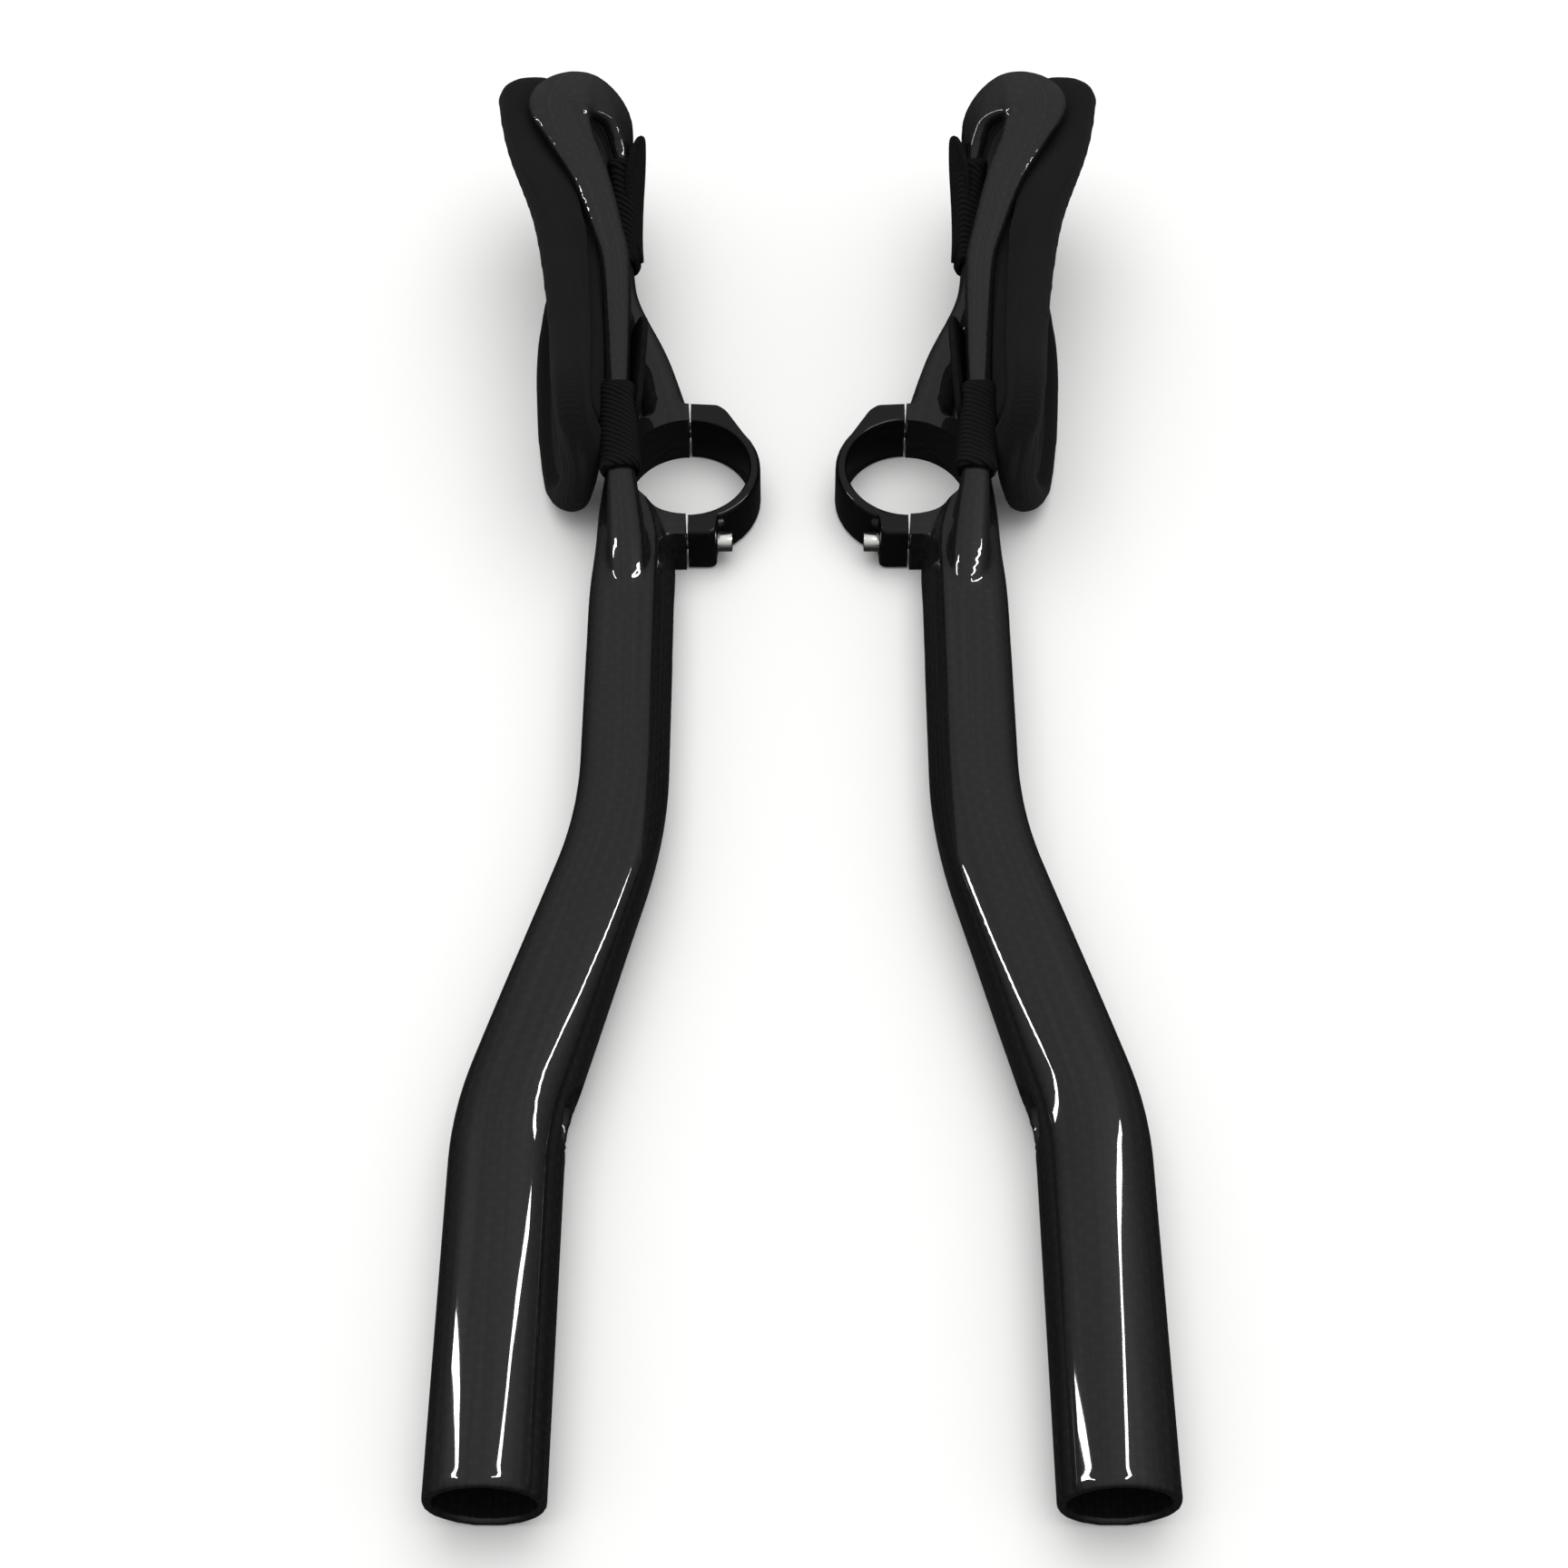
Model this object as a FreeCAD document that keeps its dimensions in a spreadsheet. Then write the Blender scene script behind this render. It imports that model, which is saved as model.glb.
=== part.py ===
import FreeCAD, Part
import math
import os
import Sketcher
from FreeCAD import Rotation, Vector

# A pair of clip-on extension bars for time trials, lying on their inner sides.
# X runs across the pair, Y points from the tips back to the arm rests, Z is up from the table.
# Only the left bar is drawn; every right-hand piece is its mirror image in the YZ plane.

doc = FreeCAD.newDocument("time_trial_handlebar")

# Driving dimensions in millimetres. "rise" is measured from the clamp axis towards the
# rider's arm, "reach" is measured from the clamp axis along the bar.
SIZES = {
    "clamp_offset": 28.5,
    "clamp_back": 79.75,
    "bore_dia": 31.8,
    "clamp_width": 15.0,
    "ring_wall": 5.6,
    "relief": 1.0,
    "relief_height": 7.0,
    "split_gap": 1.2,
    "cap_wall": 2.8,
    "bolt_offset": 3.1,
    "lug_margin": 3.4,
    "lug_thick": 7.0,
    "lug_corner": 0.9,
    "bar_lug_rise": 10.5,
    "bar_lug_corner": 3.5,
    "bolt_dia": 4.0,
    "bolt_play": 0.3,
    "head_dia": 5.2,
    "head_length": 4.0,
    "head_play": 0.5,
    "key_size": 2.5,
    "key_depth": 2.2,
    "insert_wall": 0.5,
    "insert_length": 8.0,
    "insert_play": 0.1,
    "tip_dia": 25.4,
    "tip_bore": 21.2,
    "tip_bore_depth": 72.0,
    "grip_length": 74.0,
    "tip_reach": 273.5,
    "tip_rise": 35.6,
    "front_bend": 188.0,
    "front_bend_radius": 75.0,
    "rear_bend": 110.0,
    "rear_bend_radius": 120.0,
    "tube_rise": 13.3,
    "tube_dia": 21.2,
    "tube_wall": 2.6,
    "tube_end": 44.0,
    "tube_lap": 1.0,
    "tube_step": 0.03,
    "way_lap": 8.0,
    "overrun": 20.0,
    "bore_margin": 5.0,
    "exit_reach": 186.0,
    "exit_length": 12.0,
    "exit_width": 8.0,
    "strap_thick": 1.3,
    "strap_play": 0.3,
    "tab_thick": 1.6,
    "tab_length": 34.0,
    "tab_height": 16.0,
    "tab_corner": 5.0,
    "front_tab_reach": 0.0,
    "front_tab_rise": 14.8,
    "front_tab_height": 25.0,
    "front_tab_flare": 5.0,
    "front_tab_lean": 22.0,
    "rear_tab_reach": 67.0,
    "rear_tab_rise": 14.0,
    "rear_tab_height": 19.0,
    "rear_tab_slope": 34.0,
    "pad_front": 12.0,
    "pad_length": 126.0,
    "pad_width": 52.8,
    "pad_lift": 0.7,
    "pad_corner": 15.0,
    "pad_thick": 9.0,
}

# Stations of the arm-rest loop: reach, rise, height, half width, half thickness, and the way
# its outer face looks. It leaves the tube at the nose, passes over the clamp as the beam,
# turns round the rear of the wing and comes back under the pad to the rear lug.
OUT = (0, 0, 1)
CORNER = (0, -1, 1)
UNDER = (0, -1, 0)
RAIL = {
    "nose": (-50.0, 13.6, 17.0, 4.6, 4.4, OUT),
    "leg": (-34.0, 14.2, 22.8, 5.0, 4.8, OUT),
    "saddle": (-14.0, 16.2, 28.8, 3.6, 3.6, OUT),
    "band": (-2.5, 17.2, 31.6, 3.2, 3.2, OUT),
    "beam": (9.5, 17.6, 34.4, 3.2, 3.1, OUT),
    "rear_beam": (42.0, 18.7, 42.2, 3.8, 2.9, OUT),
    "flare": (55.0, 21.4, 45.4, 4.1, 2.6, OUT),
    "wing": (69.5, 26.0, 49.4, 4.9, 2.4, OUT),
    "shoulder": (81.5, 31.6, 52.8, 6.2, 2.3, OUT),
    "crown": (92.0, 34.6, 55.0, 8.6, 2.3, OUT),
    "back": (97.0, 28.0, 54.6, 6.8, 2.3, OUT),
    "turn": (94.0, 20.2, 48.4, 5.0, 2.4, CORNER),
    "heel": (84.5, 18.4, 39.0, 5.2, 2.3, UNDER),
    "sole": (70.0, 18.2, 28.6, 6.4, 2.3, UNDER),
    "arch": (54.0, 17.4, 19.6, 7.2, 2.9, UNDER),
    "strut": (37.0, 11.0, 12.0, 6.8, 4.6, UNDER),
    "heel_lug": (19.5, 6.8, 7.6, 6.0, 5.6, UNDER),
}

# Shoulder stations from the tube's end to the bridge over the clamp: reach, rise, height, half
# depth and half width.
SHOULDER = {
    "root": (-56.0, 13.3, 12.7, 10.2, 10.2),
    "neck": (-44.0, 13.3, 12.7, 10.5, 10.5),
    "brow": (-28.0, 13.0, 11.6, 10.2, 10.0),
    "cheek": (-13.0, 14.6, 9.2, 8.8, 8.2),
    "bridge": (2.0, 17.5, 7.7, 7.3, 4.2),
}

# Pad sections, evenly spaced: rise and height of the low lip, the trough and the high lip.
PAD = {
    "front": (33.4, 5.2, 27.4, 26.0, 28.6, 49.0),
    "fore": (36.8, 5.2, 27.4, 26.0, 30.0, 49.0),
    "middle": (38.0, 5.2, 27.2, 26.0, 32.6, 49.0),
    "hind": (37.4, 5.2, 27.2, 25.0, 42.6, 48.6),
    "rear": (35.6, 5.2, 27.4, 25.0, 47.4, 49.0),
}

PARTS = ("reach", "rise", "height", "half_width", "half_thick")
LIPS = ("low_rise", "low_height", "mid_rise", "mid_height", "high_rise", "high_height")


def make_sheet():
    """Write every driving dimension into one sheet, each cell with an alias."""
    sheet = doc.addObject("Spreadsheet::Sheet", "Sizes")
    rows = dict(SIZES)
    for station, values in RAIL.items():
        for part, value in zip(PARTS, values):
            rows["rail_%s_%s" % (station, part)] = value
    for station, values in SHOULDER.items():
        for part, value in zip(PARTS, values):
            rows["shoulder_%s_%s" % (station, part)] = value
    for station, values in PAD.items():
        for part, value in zip(LIPS, values):
            rows["pad_%s_%s" % (station, part)] = value
    for row, (alias, value) in enumerate(rows.items(), start=1):
        sheet.set("A%d" % row, alias)
        sheet.set("B%d" % row, repr(value))
        sheet.setAlias("B%d" % row, alias)
    doc.recompute()
    return sheet


sheet = make_sheet()


def size(alias):
    return float(sheet.get(alias))


def bind(obj, **expressions):
    """Bind properties of an object; a double underscore stands for a dot in the path."""
    for path, text in expressions.items():
        obj.setExpression(path.replace("__", "."), text)
    return obj


def place(obj, rise, reach, height):
    """Bind an object's base to a point given as rise, reach and height expressions."""
    return bind(
        obj,
        Placement__Base__x="-(Sizes.clamp_offset + (%s))" % rise,
        Placement__Base__y="Sizes.clamp_back + (%s)" % reach,
        Placement__Base__z=height,
    )


def point(rise, reach, height):
    return Vector(-size("clamp_offset") - rise, size("clamp_back") + reach, height)


def primitive(kind, name, spot, rotation=None, **expressions):
    obj = doc.addObject("Part::" + kind, name)
    if rotation is not None:
        obj.Placement.Rotation = rotation
    bind(obj, **expressions)
    return place(obj, *spot)


def boolean(kind, name, base, tools):
    """Fuse or cut: one base with one tool or with several fused tools."""
    if kind == "Fuse":
        obj = doc.addObject("Part::MultiFuse", name)
        obj.Shapes = [base] + tools
        obj.Refine = False
        return obj
    tool = tools[0]
    if len(tools) > 1:
        tool = doc.addObject("Part::MultiFuse", name + "_tools")
        tool.Shapes = tools
        tool.Refine = False
    obj = doc.addObject("Part::Cut", name)
    obj.Base = base
    obj.Tool = tool
    obj.Refine = False
    return obj


def frame(across, along):
    """Rotation that turns an ellipse's major axis across and its normal along."""
    along = Vector(along).normalize()
    across = Vector(across)
    across = (across - along * across.dot(along)).normalize()
    return Rotation(across, along.cross(across), along, "ZXY")


# Surfaces with two curvatures are drawn as flat facets between rings of points.
def faceted(name, outer, inner=None):
    """Closed solid between the first and last ring; with inner rings it is a sleeve."""
    points, facets = [], []

    def lay(rings):
        start = len(points)
        count = len(rings[0])
        for ring in rings:
            points.extend(ring)
        return [[start + row * count + k for k in range(count)] for row in range(len(rings))]

    def strip(first, second, flip):
        for k in range(len(first)):
            a, b = first[k], first[(k + 1) % len(first)]
            c, d = second[k], second[(k + 1) % len(first)]
            for facet in ((a, b, d), (a, d, c)):
                facets.append(facet[::-1] if flip else facet)

    rows = lay(outer)
    for first, second in zip(rows, rows[1:]):
        strip(first, second, False)
    if inner is None:
        for row, flip in ((rows[0], True), (rows[-1], False)):
            for k in range(1, len(row) - 1):
                facet = (row[0], row[k], row[k + 1])
                facets.append(facet[::-1] if flip else facet)
    else:
        holes = lay(inner)
        for first, second in zip(holes, holes[1:]):
            strip(first, second, True)
        strip(holes[0], rows[0], False)
        strip(holes[-1], rows[-1], True)
    shape = Part.Shape()
    shape.makeShapeFromMesh((points, facets), 0.001)
    solid = Part.Solid(Part.Shell(shape.Faces))
    if solid.Volume < 0:
        solid.reverse()
    obj = doc.addObject("Part::Feature", name)
    obj.Shape = solid
    return obj


def oval_ring(centre, across, over, half_width, half_thick, sides):
    ring = []
    for k in range(sides):
        turn = 2 * math.pi * k / sides
        ring.append(centre + across * (half_width * math.cos(turn)) + over * (half_thick * math.sin(turn)))
    return ring


def smooth(table, spot):
    """Cubic through the rows of a table, spot counting rows, with slopes set by both neighbours."""
    base = min(int(spot), len(table) - 2)
    local = spot - base
    rows = [table[min(max(base + step, 0), len(table) - 1)] for step in (-1, 0, 1, 2)]
    weights = (
        (-local + 2 * local ** 2 - local ** 3) / 2,
        (2 - 5 * local ** 2 + 3 * local ** 3) / 2,
        (local + 4 * local ** 2 - 3 * local ** 3) / 2,
        (-local ** 2 + local ** 3) / 2,
    )
    return [sum(w * row[k] for w, row in zip(weights, rows)) for k in range(len(table[0]))]


# The tube: a round grip, then an S-bend in plan that thins down on its way to the clamp.
# The centre line behind the grip is three straights joined by two tangent arcs.
def tube_line(start, end, steps):
    """Stations of the centre line as (rise, reach, heading, share of the thinning done)."""
    drop = math.atan2(
        size("tip_rise") - size("tube_rise"), size("front_bend") - size("rear_bend")
    )
    front, rear = size("front_bend_radius"), size("rear_bend_radius")
    rise, reach, rear_reach = size("tip_rise"), -size("front_bend"), -size("rear_bend")
    front_cut, rear_cut = front * math.tan(drop / 2), rear * math.tan(drop / 2)
    stations = [(rise, start, 0.0, 0.0)]
    for step in range(steps + 1):
        turn = drop * step / steps
        swing = front * (1 - math.cos(turn))
        stations.append((rise - swing, reach - front_cut + front * math.sin(turn), turn, 0.0))
    for step in range(steps + 1):
        turn = drop * (1 - step / steps)
        swing = rear * (1 - math.cos(turn))
        stations.append((size("tube_rise") + swing, rear_reach + rear_cut - rear * math.sin(turn), turn, 1.0))
    stations.append((size("tube_rise"), end, 0.0, 1.0))
    return stations


def tube_rings(wall, start, end, sides, steps):
    """Rings square to the centre line, the wall taken off every radius."""
    rings = []
    for rise, reach, heading, share in tube_line(start, end, steps):
        radius = (size("tip_dia") + (size("tube_dia") - size("tip_dia")) * share) / 2 - wall
        across = Vector(math.cos(heading), -math.sin(heading), 0)
        centre = point(rise, reach, size("tip_dia") / 2)
        rings.append(oval_ring(centre, Vector(0, 0, -1), across, radius, radius, sides))
    return rings


# The shoulder carries the tube on over the clamp.
def make_shoulder():
    rings = []
    for station in SHOULDER:
        reach, rise, height, depth, width = [size("shoulder_%s_%s" % (station, part)) for part in PARTS]
        centre = point(rise, reach, height)
        rings.append(oval_ring(centre, Vector(0, 0, 1), Vector(1, 0, 0), depth, width, 14))
    return faceted("shoulder", rings)


# The arm-rest loop: flattened ovals that follow its path.
LOOP_SIDES = 12
CURVED = ("crown", "arch")


def loop_rings(first, last, grow):
    """Rings from one station to another, each side grown by the given clearance."""
    names = list(RAIL)
    table = [
        [size("rail_%s_%s" % (name, part)) for part in PARTS] + list(RAIL[name][5]) for name in names
    ]
    bend_in, bend_out = [names.index(name) for name in CURVED]
    halves = [step / 2 for step in range(2 * len(names) - 1)]
    spots = [spot for spot in halves if spot == int(spot) or bend_in < spot < bend_out]
    rings = []
    for spot in spots:
        if not first <= spot <= last:
            continue
        reach, rise, height, width, thick, *look = smooth(table, spot)
        ahead = smooth(table, min(spot + 0.05, len(table) - 1))
        behind = smooth(table, max(spot - 0.05, 0))
        along = point(ahead[1], ahead[0], ahead[2]) - point(behind[1], behind[0], behind[2])
        along.normalize()
        over = Vector(-look[1], look[0], look[2])
        over = over - along * over.dot(along)
        over.normalize()
        centre = point(rise, reach, height)
        rings.append(oval_ring(centre, over.cross(along), over, width + grow, thick + grow, LOOP_SIDES))
    return rings


def make_loop():
    return faceted("rest_loop", loop_rings(0, len(RAIL) - 1, 0))


def edges_where(shape, test):
    return ["Edge%d" % (i + 1) for i, edge in enumerate(shape.Edges) if test(edge)]


def rounded(name, box, radius, test, kind="Fillet"):
    """Round or bevel the edges of a block that pass the test."""
    doc.recompute()
    obj = doc.addObject("Part::" + kind, name)
    obj.Base = box
    value = size(radius)
    picked = [int(edge[4:]) for edge in edges_where(box.Shape, test)]
    obj.Edges = [(index, value, value) for index in picked]
    return obj


# The screws stand just outside the bore, and the lugs end just outside the screws.
ROW = "(Sizes.bore_dia / 2 + Sizes.bolt_offset)"
LUG = "(Sizes.bore_dia / 2 + Sizes.bolt_offset + Sizes.lug_margin)"
FLATS = "(2 * (Sizes.bolt_offset - Sizes.insert_wall))"


def row_reach():
    return size("bore_dia") / 2 + size("bolt_offset")


def lug_reach():
    return row_reach() + size("lug_margin")


# The bar-side half of the handlebar clamp: half a ring with a lug at each end.
def make_clamp_half():
    ring = primitive(
        "Cylinder", "ring", ("0", "0", "0"),
        Radius="Sizes.bore_dia / 2 + Sizes.ring_wall", Height="Sizes.clamp_width",
    )
    keep = primitive(
        "Box", "ring_keep", ("Sizes.split_gap / 2 + 60", "-60", "-10"),
        Length="60", Width="120", Height="Sizes.clamp_width + 20",
    )
    half = doc.addObject("Part::Common", "half_ring")
    half.Base = ring
    half.Tool = keep
    pieces = [half]
    for end, start in (("front", "-" + LUG), ("rear", LUG + " - 12")):
        lug = primitive(
            "Box", end + "_bar_lug_blank", ("Sizes.bar_lug_rise", start, "0"),
            Length="Sizes.bar_lug_rise - Sizes.split_gap / 2", Width="12", Height="Sizes.clamp_width",
        )

        def far_corner(edge):
            box = edge.BoundBox
            outer = abs(abs(box.Center.y - size("clamp_back")) - lug_reach()) < 0.01
            return outer and box.ZLength > size("clamp_width") - 0.1

        pieces.append(rounded(end + "_bar_lug", lug, "bar_lug_corner", far_corner))
    return pieces


def bolt_row(end):
    return ("-" if end == "front" else "") + ROW


UP_BAR = Rotation(Vector(0, 1, 0), -90)


def make_bar():
    back = Rotation(Vector(1, 0, 0), -90)
    grip = primitive(
        "Cylinder", "grip", ("Sizes.tip_rise", "-Sizes.tip_reach", "Sizes.tip_dia / 2"), back,
        Radius="Sizes.tip_dia / 2", Height="Sizes.grip_length",
    )
    joint = size("grip_length") - size("tip_reach")
    skin = faceted("tube", tube_rings(
        size("tube_step"), joint - size("tube_lap"), -size("tube_end"), 16, 4
    ))
    bend = 2
    way = tube_rings(size("tube_wall"), joint - size("way_lap"), -size("tube_end"), 8, bend)
    core = faceted("cable_way", way[:bend + 2])
    pieces = [skin, make_shoulder(), make_loop()] + make_clamp_half()
    solid = boolean("Fuse", "bar_solid", grip, pieces)
    clamp_bore = primitive(
        "Cylinder", "clamp_bore", ("0", "0", "-Sizes.overrun"), Radius="Sizes.bore_dia / 2",
        Height="Sizes.clamp_width + Sizes.overrun + Sizes.bore_margin",
    )
    tip_bore = primitive(
        "Cylinder", "tip_bore", ("Sizes.tip_rise", "-Sizes.tip_reach - 1", "Sizes.tip_dia / 2"), back,
        Radius="Sizes.tip_bore / 2", Height="Sizes.tip_bore_depth + 1",
    )
    split = primitive(
        "Box", "split_side", ("Sizes.split_gap / 2", "-50", "-10"), Length="40", Width="100", Height="60",
    )
    relief = primitive(
        "Cylinder", "clamp_relief", ("0", "0", "Sizes.clamp_width"),
        Radius="Sizes.bore_dia / 2 + Sizes.relief", Height="Sizes.relief_height",
    )
    cuts = [core, clamp_bore, relief, tip_bore, split]
    for end in ("front", "rear"):
        cuts.append(primitive(
            "Prism", end + "_insert_seat",
            ("0", bolt_row(end), "Sizes.clamp_width / 2"), UP_BAR,
            Circumradius="(%s + Sizes.insert_play) / sqrt(3)" % FLATS,
            Height="Sizes.split_gap / 2 + Sizes.insert_length + Sizes.insert_play",
        ))
    exit_hole = primitive(
        "Ellipse", "exit_outline",
        ("0", "-Sizes.exit_reach", "Sizes.tip_dia / 2"), UP_BAR,
        MajorRadius="Sizes.exit_length / 2", MinorRadius="Sizes.exit_width / 2",
    )
    exit_hole.Placement.Rotation = frame(Vector(0, 1, 0), Vector(-1, 0, 0))
    drill = doc.addObject("Part::Extrusion", "exit_drill")
    drill.Base = exit_hole
    drill.DirMode = "Custom"
    drill.Dir = Vector(-1, 0, 0)
    drill.Solid = True
    bind(drill, LengthFwd="Sizes.tip_rise - 4")
    cuts.append(drill)
    return boolean("Cut", "left_extension_bar", solid, cuts)


# The cap: the other half of the clamp, a machined bridge with a lug at each end.
def plane_of(body, role):
    return next(item for item in body.Origin.OriginFeatures if item.Role == role)


def new_body(name):
    body = doc.addObject("PartDesign::Body", name)
    place(body, "0", "0", "0")
    return body


def sketch_on(body, name, role):
    sketch = body.newObject("Sketcher::SketchObject", name)
    sketch.AttachmentSupport = (plane_of(body, role), "")
    sketch.MapMode = "FlatFace"
    return sketch


def datum(sketch, name, expression, *constraint):
    index = sketch.addConstraint(Sketcher.Constraint(*constraint))
    sketch.renameConstraint(index, name)
    sketch.setExpression("Constraints." + name, expression)


def cap_profile(body):
    """Half ring between two lugs, drawn round the clamp axis on the side away from the bar."""
    inner = size("bore_dia") / 2
    outer = inner + size("cap_wall")
    near = size("split_gap") / 2
    far = near + size("lug_thick")
    reach = lug_reach()
    root_in = math.sqrt(inner ** 2 - near ** 2)
    root_out = math.sqrt(outer ** 2 - far ** 2)
    sketch = sketch_on(body, "cap_profile", "XY_Plane")
    corners = [
        (far, root_out), (far, reach), (near, reach), (near, root_in),
        (near, -root_in), (near, -reach), (far, -reach), (far, -root_out),
    ]
    corners = [Vector(x, y, 0) for x, y in corners]
    for first, second in ((0, 1), (1, 2), (2, 3), (4, 5), (5, 6), (6, 7)):
        sketch.addGeometry(Part.LineSegment(corners[first], corners[second]), False)
    axis = Vector(0, 0, 1)
    for radius, start, end in ((outer, corners[7], corners[0]), (inner, corners[4], corners[3])):
        angles = [math.atan2(corner.y, corner.x) for corner in (start, end)]
        sketch.addGeometry(Part.ArcOfCircle(Part.Circle(Vector(), axis, radius), *angles), False)
    for first, second in (((0, 2), (1, 1)), ((1, 2), (2, 1)), ((3, 2), (4, 1)), ((4, 2), (5, 1)),
                          ((6, 2), (0, 1)), ((6, 1), (5, 2)), ((7, 2), (2, 2)), ((7, 1), (3, 1)),
                          ((6, 3), (-1, 1)), ((7, 3), (-1, 1))):
        sketch.addConstraint(Sketcher.Constraint("Coincident", *first, *second))
    for line in (0, 2, 3, 5):
        sketch.addConstraint(Sketcher.Constraint("Vertical", line))
    for line in (1, 4):
        sketch.addConstraint(Sketcher.Constraint("Horizontal", line))
    datum(sketch, "outer", "Sizes.bore_dia / 2 + Sizes.cap_wall", "Radius", 6, outer)
    datum(sketch, "inner", "Sizes.bore_dia / 2", "Radius", 7, inner)
    datum(sketch, "front_gap", "Sizes.split_gap / 2", "DistanceX", -1, 1, 3, 1, near)
    datum(sketch, "rear_gap", "Sizes.split_gap / 2", "DistanceX", -1, 1, 2, 1, near)
    datum(sketch, "front_lug", "Sizes.lug_thick", "DistanceX", 4, 1, 4, 2, far - near)
    datum(sketch, "rear_lug", "Sizes.lug_thick", "DistanceX", 1, 2, 1, 1, far - near)
    datum(sketch, "rear_reach", LUG, "DistanceY", -1, 1, 1, 1, reach)
    datum(sketch, "front_reach", LUG, "DistanceY", 4, 1, -1, 1, reach)
    return sketch


def bolt_circles(body, name, diameter, expression):
    """Sketch across the clamp with one circle on each screw's axis."""
    sketch = sketch_on(body, name, "YZ_Plane")
    spots = (row_reach(), -row_reach())
    height = size("clamp_width") / 2
    for index, spot in enumerate(spots):
        circle = Part.Circle(Vector(spot, height, 0), Vector(0, 0, 1), diameter / 2)
        sketch.addGeometry(circle, False)
        end = ("rear", "front")[index]
        ends = ((-1, 1, index, 3), (index, 3, -1, 1))[index]
        datum(sketch, end + "_row", ROW, "DistanceX", *ends, abs(spot))
        datum(sketch, end + "_height", "Sizes.clamp_width / 2", "DistanceY", -1, 1, index, 3, height)
        datum(sketch, end + "_hole", "(%s) / 2" % expression, "Radius", index, diameter / 2)
    return sketch


def make_cap():
    body = new_body("left_clamp_cap")
    pad = body.newObject("PartDesign::Pad", "cap_pad")
    pad.Profile = cap_profile(body)
    bind(pad, Length="Sizes.clamp_width")
    doc.recompute()
    holes = body.newObject("PartDesign::Pocket", "cap_holes")
    holes.Profile = bolt_circles(
        body, "cap_bolt_holes", size("bolt_dia") + size("bolt_play"), "Sizes.bolt_dia + Sizes.bolt_play"
    )
    holes.Type = "ThroughAll"
    holes.Midplane = True
    doc.recompute()
    reach = lug_reach()

    def lug_corner(edge):
        box = edge.BoundBox
        return box.ZLength > size("clamp_width") - 0.1 and abs(abs(box.Center.y) - reach) < 0.01

    corners = body.newObject("PartDesign::Chamfer", "cap_corners")
    corners.Base = (holes, edges_where(holes.Shape, lug_corner))
    bind(corners, Size="Sizes.lug_corner")
    doc.recompute()
    seats = body.newObject("PartDesign::Pocket", "cap_seats")
    rings = bolt_circles(
        body, "cap_head_seats", size("head_dia") + size("head_play"), "Sizes.head_dia + Sizes.head_play"
    )
    bind(rings, AttachmentOffset__Base__z="Sizes.split_gap / 2 + Sizes.lug_thick")
    seats.Profile = rings
    seats.Type = "ThroughAll"
    seats.Reversed = True
    return body


# Clamp screws and the threaded inserts that they run into, one at each end of the clamp.
def make_bolt(end):
    name = "left_%s_clamp_bolt" % end
    row, mid = bolt_row(end), "Sizes.clamp_width / 2"
    seat = "-(Sizes.split_gap / 2 + Sizes.lug_thick)"
    shank = primitive(
        "Cylinder", end + "_shank", (seat, row, mid), UP_BAR, Radius="Sizes.bolt_dia / 2",
        Height="Sizes.lug_thick + Sizes.split_gap + Sizes.insert_length - 1",
    )
    head = primitive(
        "Cylinder", end + "_head", (seat + " - Sizes.head_length", row, mid), UP_BAR,
        Radius="Sizes.head_dia / 2", Height="Sizes.head_length",
    )
    key = primitive(
        "Prism", end + "_key", (seat + " - Sizes.head_length", row, mid), UP_BAR,
        Circumradius="Sizes.key_size / sqrt(3)", Height="Sizes.key_depth",
    )
    key.Polygon = 6
    return boolean("Cut", name, boolean("Fuse", end + "_blank", head, [shank]), [key])


def make_insert(end):
    spot = ("Sizes.split_gap / 2", bolt_row(end), "Sizes.clamp_width / 2")
    sleeve = primitive(
        "Prism", end + "_sleeve", spot, UP_BAR,
        Circumradius=FLATS + " / sqrt(3)", Height="Sizes.insert_length",
    )
    thread = primitive(
        "Cylinder", end + "_thread", spot, UP_BAR,
        Radius="Sizes.bolt_dia / 2 + Sizes.insert_play / 2", Height="Sizes.insert_length",
    )
    return boolean("Cut", "left_%s_thread_insert" % end, sleeve, [thread])


# Straps are sleeves round the loop, each with a hook tab lying along its lower side.
STRAPS = {"front": (2, 4), "rear": (11.5, 13.5)}


def make_strap(end):
    """Sleeve between two stations of the loop, counted from the nose."""
    first, last = STRAPS[end]
    play = size("strap_play")
    outer = loop_rings(first, last, play + size("strap_thick"))
    return faceted("left_%s_strap" % end, outer, loop_rings(first, last, play))


def make_tab(end, rotation):
    box = primitive(
        "Box", end + "_tab_blank",
        ("Sizes.%s_tab_rise" % end, "Sizes.%s_tab_reach" % end, "Sizes.%s_tab_height" % end), rotation,
        Length="Sizes.tab_thick", Width="Sizes.tab_length", Height="Sizes.tab_height",
    )

    def corner(edge):
        return abs(edge.Length - size("tab_thick")) < 0.01

    return rounded("left_%s_hook_tab" % end, box, "tab_corner", corner, "Chamfer")


# The pad: a trough bent over its length and drawn in at the corners of its rounded plan.
PAD_ROWS = 3
PAD_POINTS = 7


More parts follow.
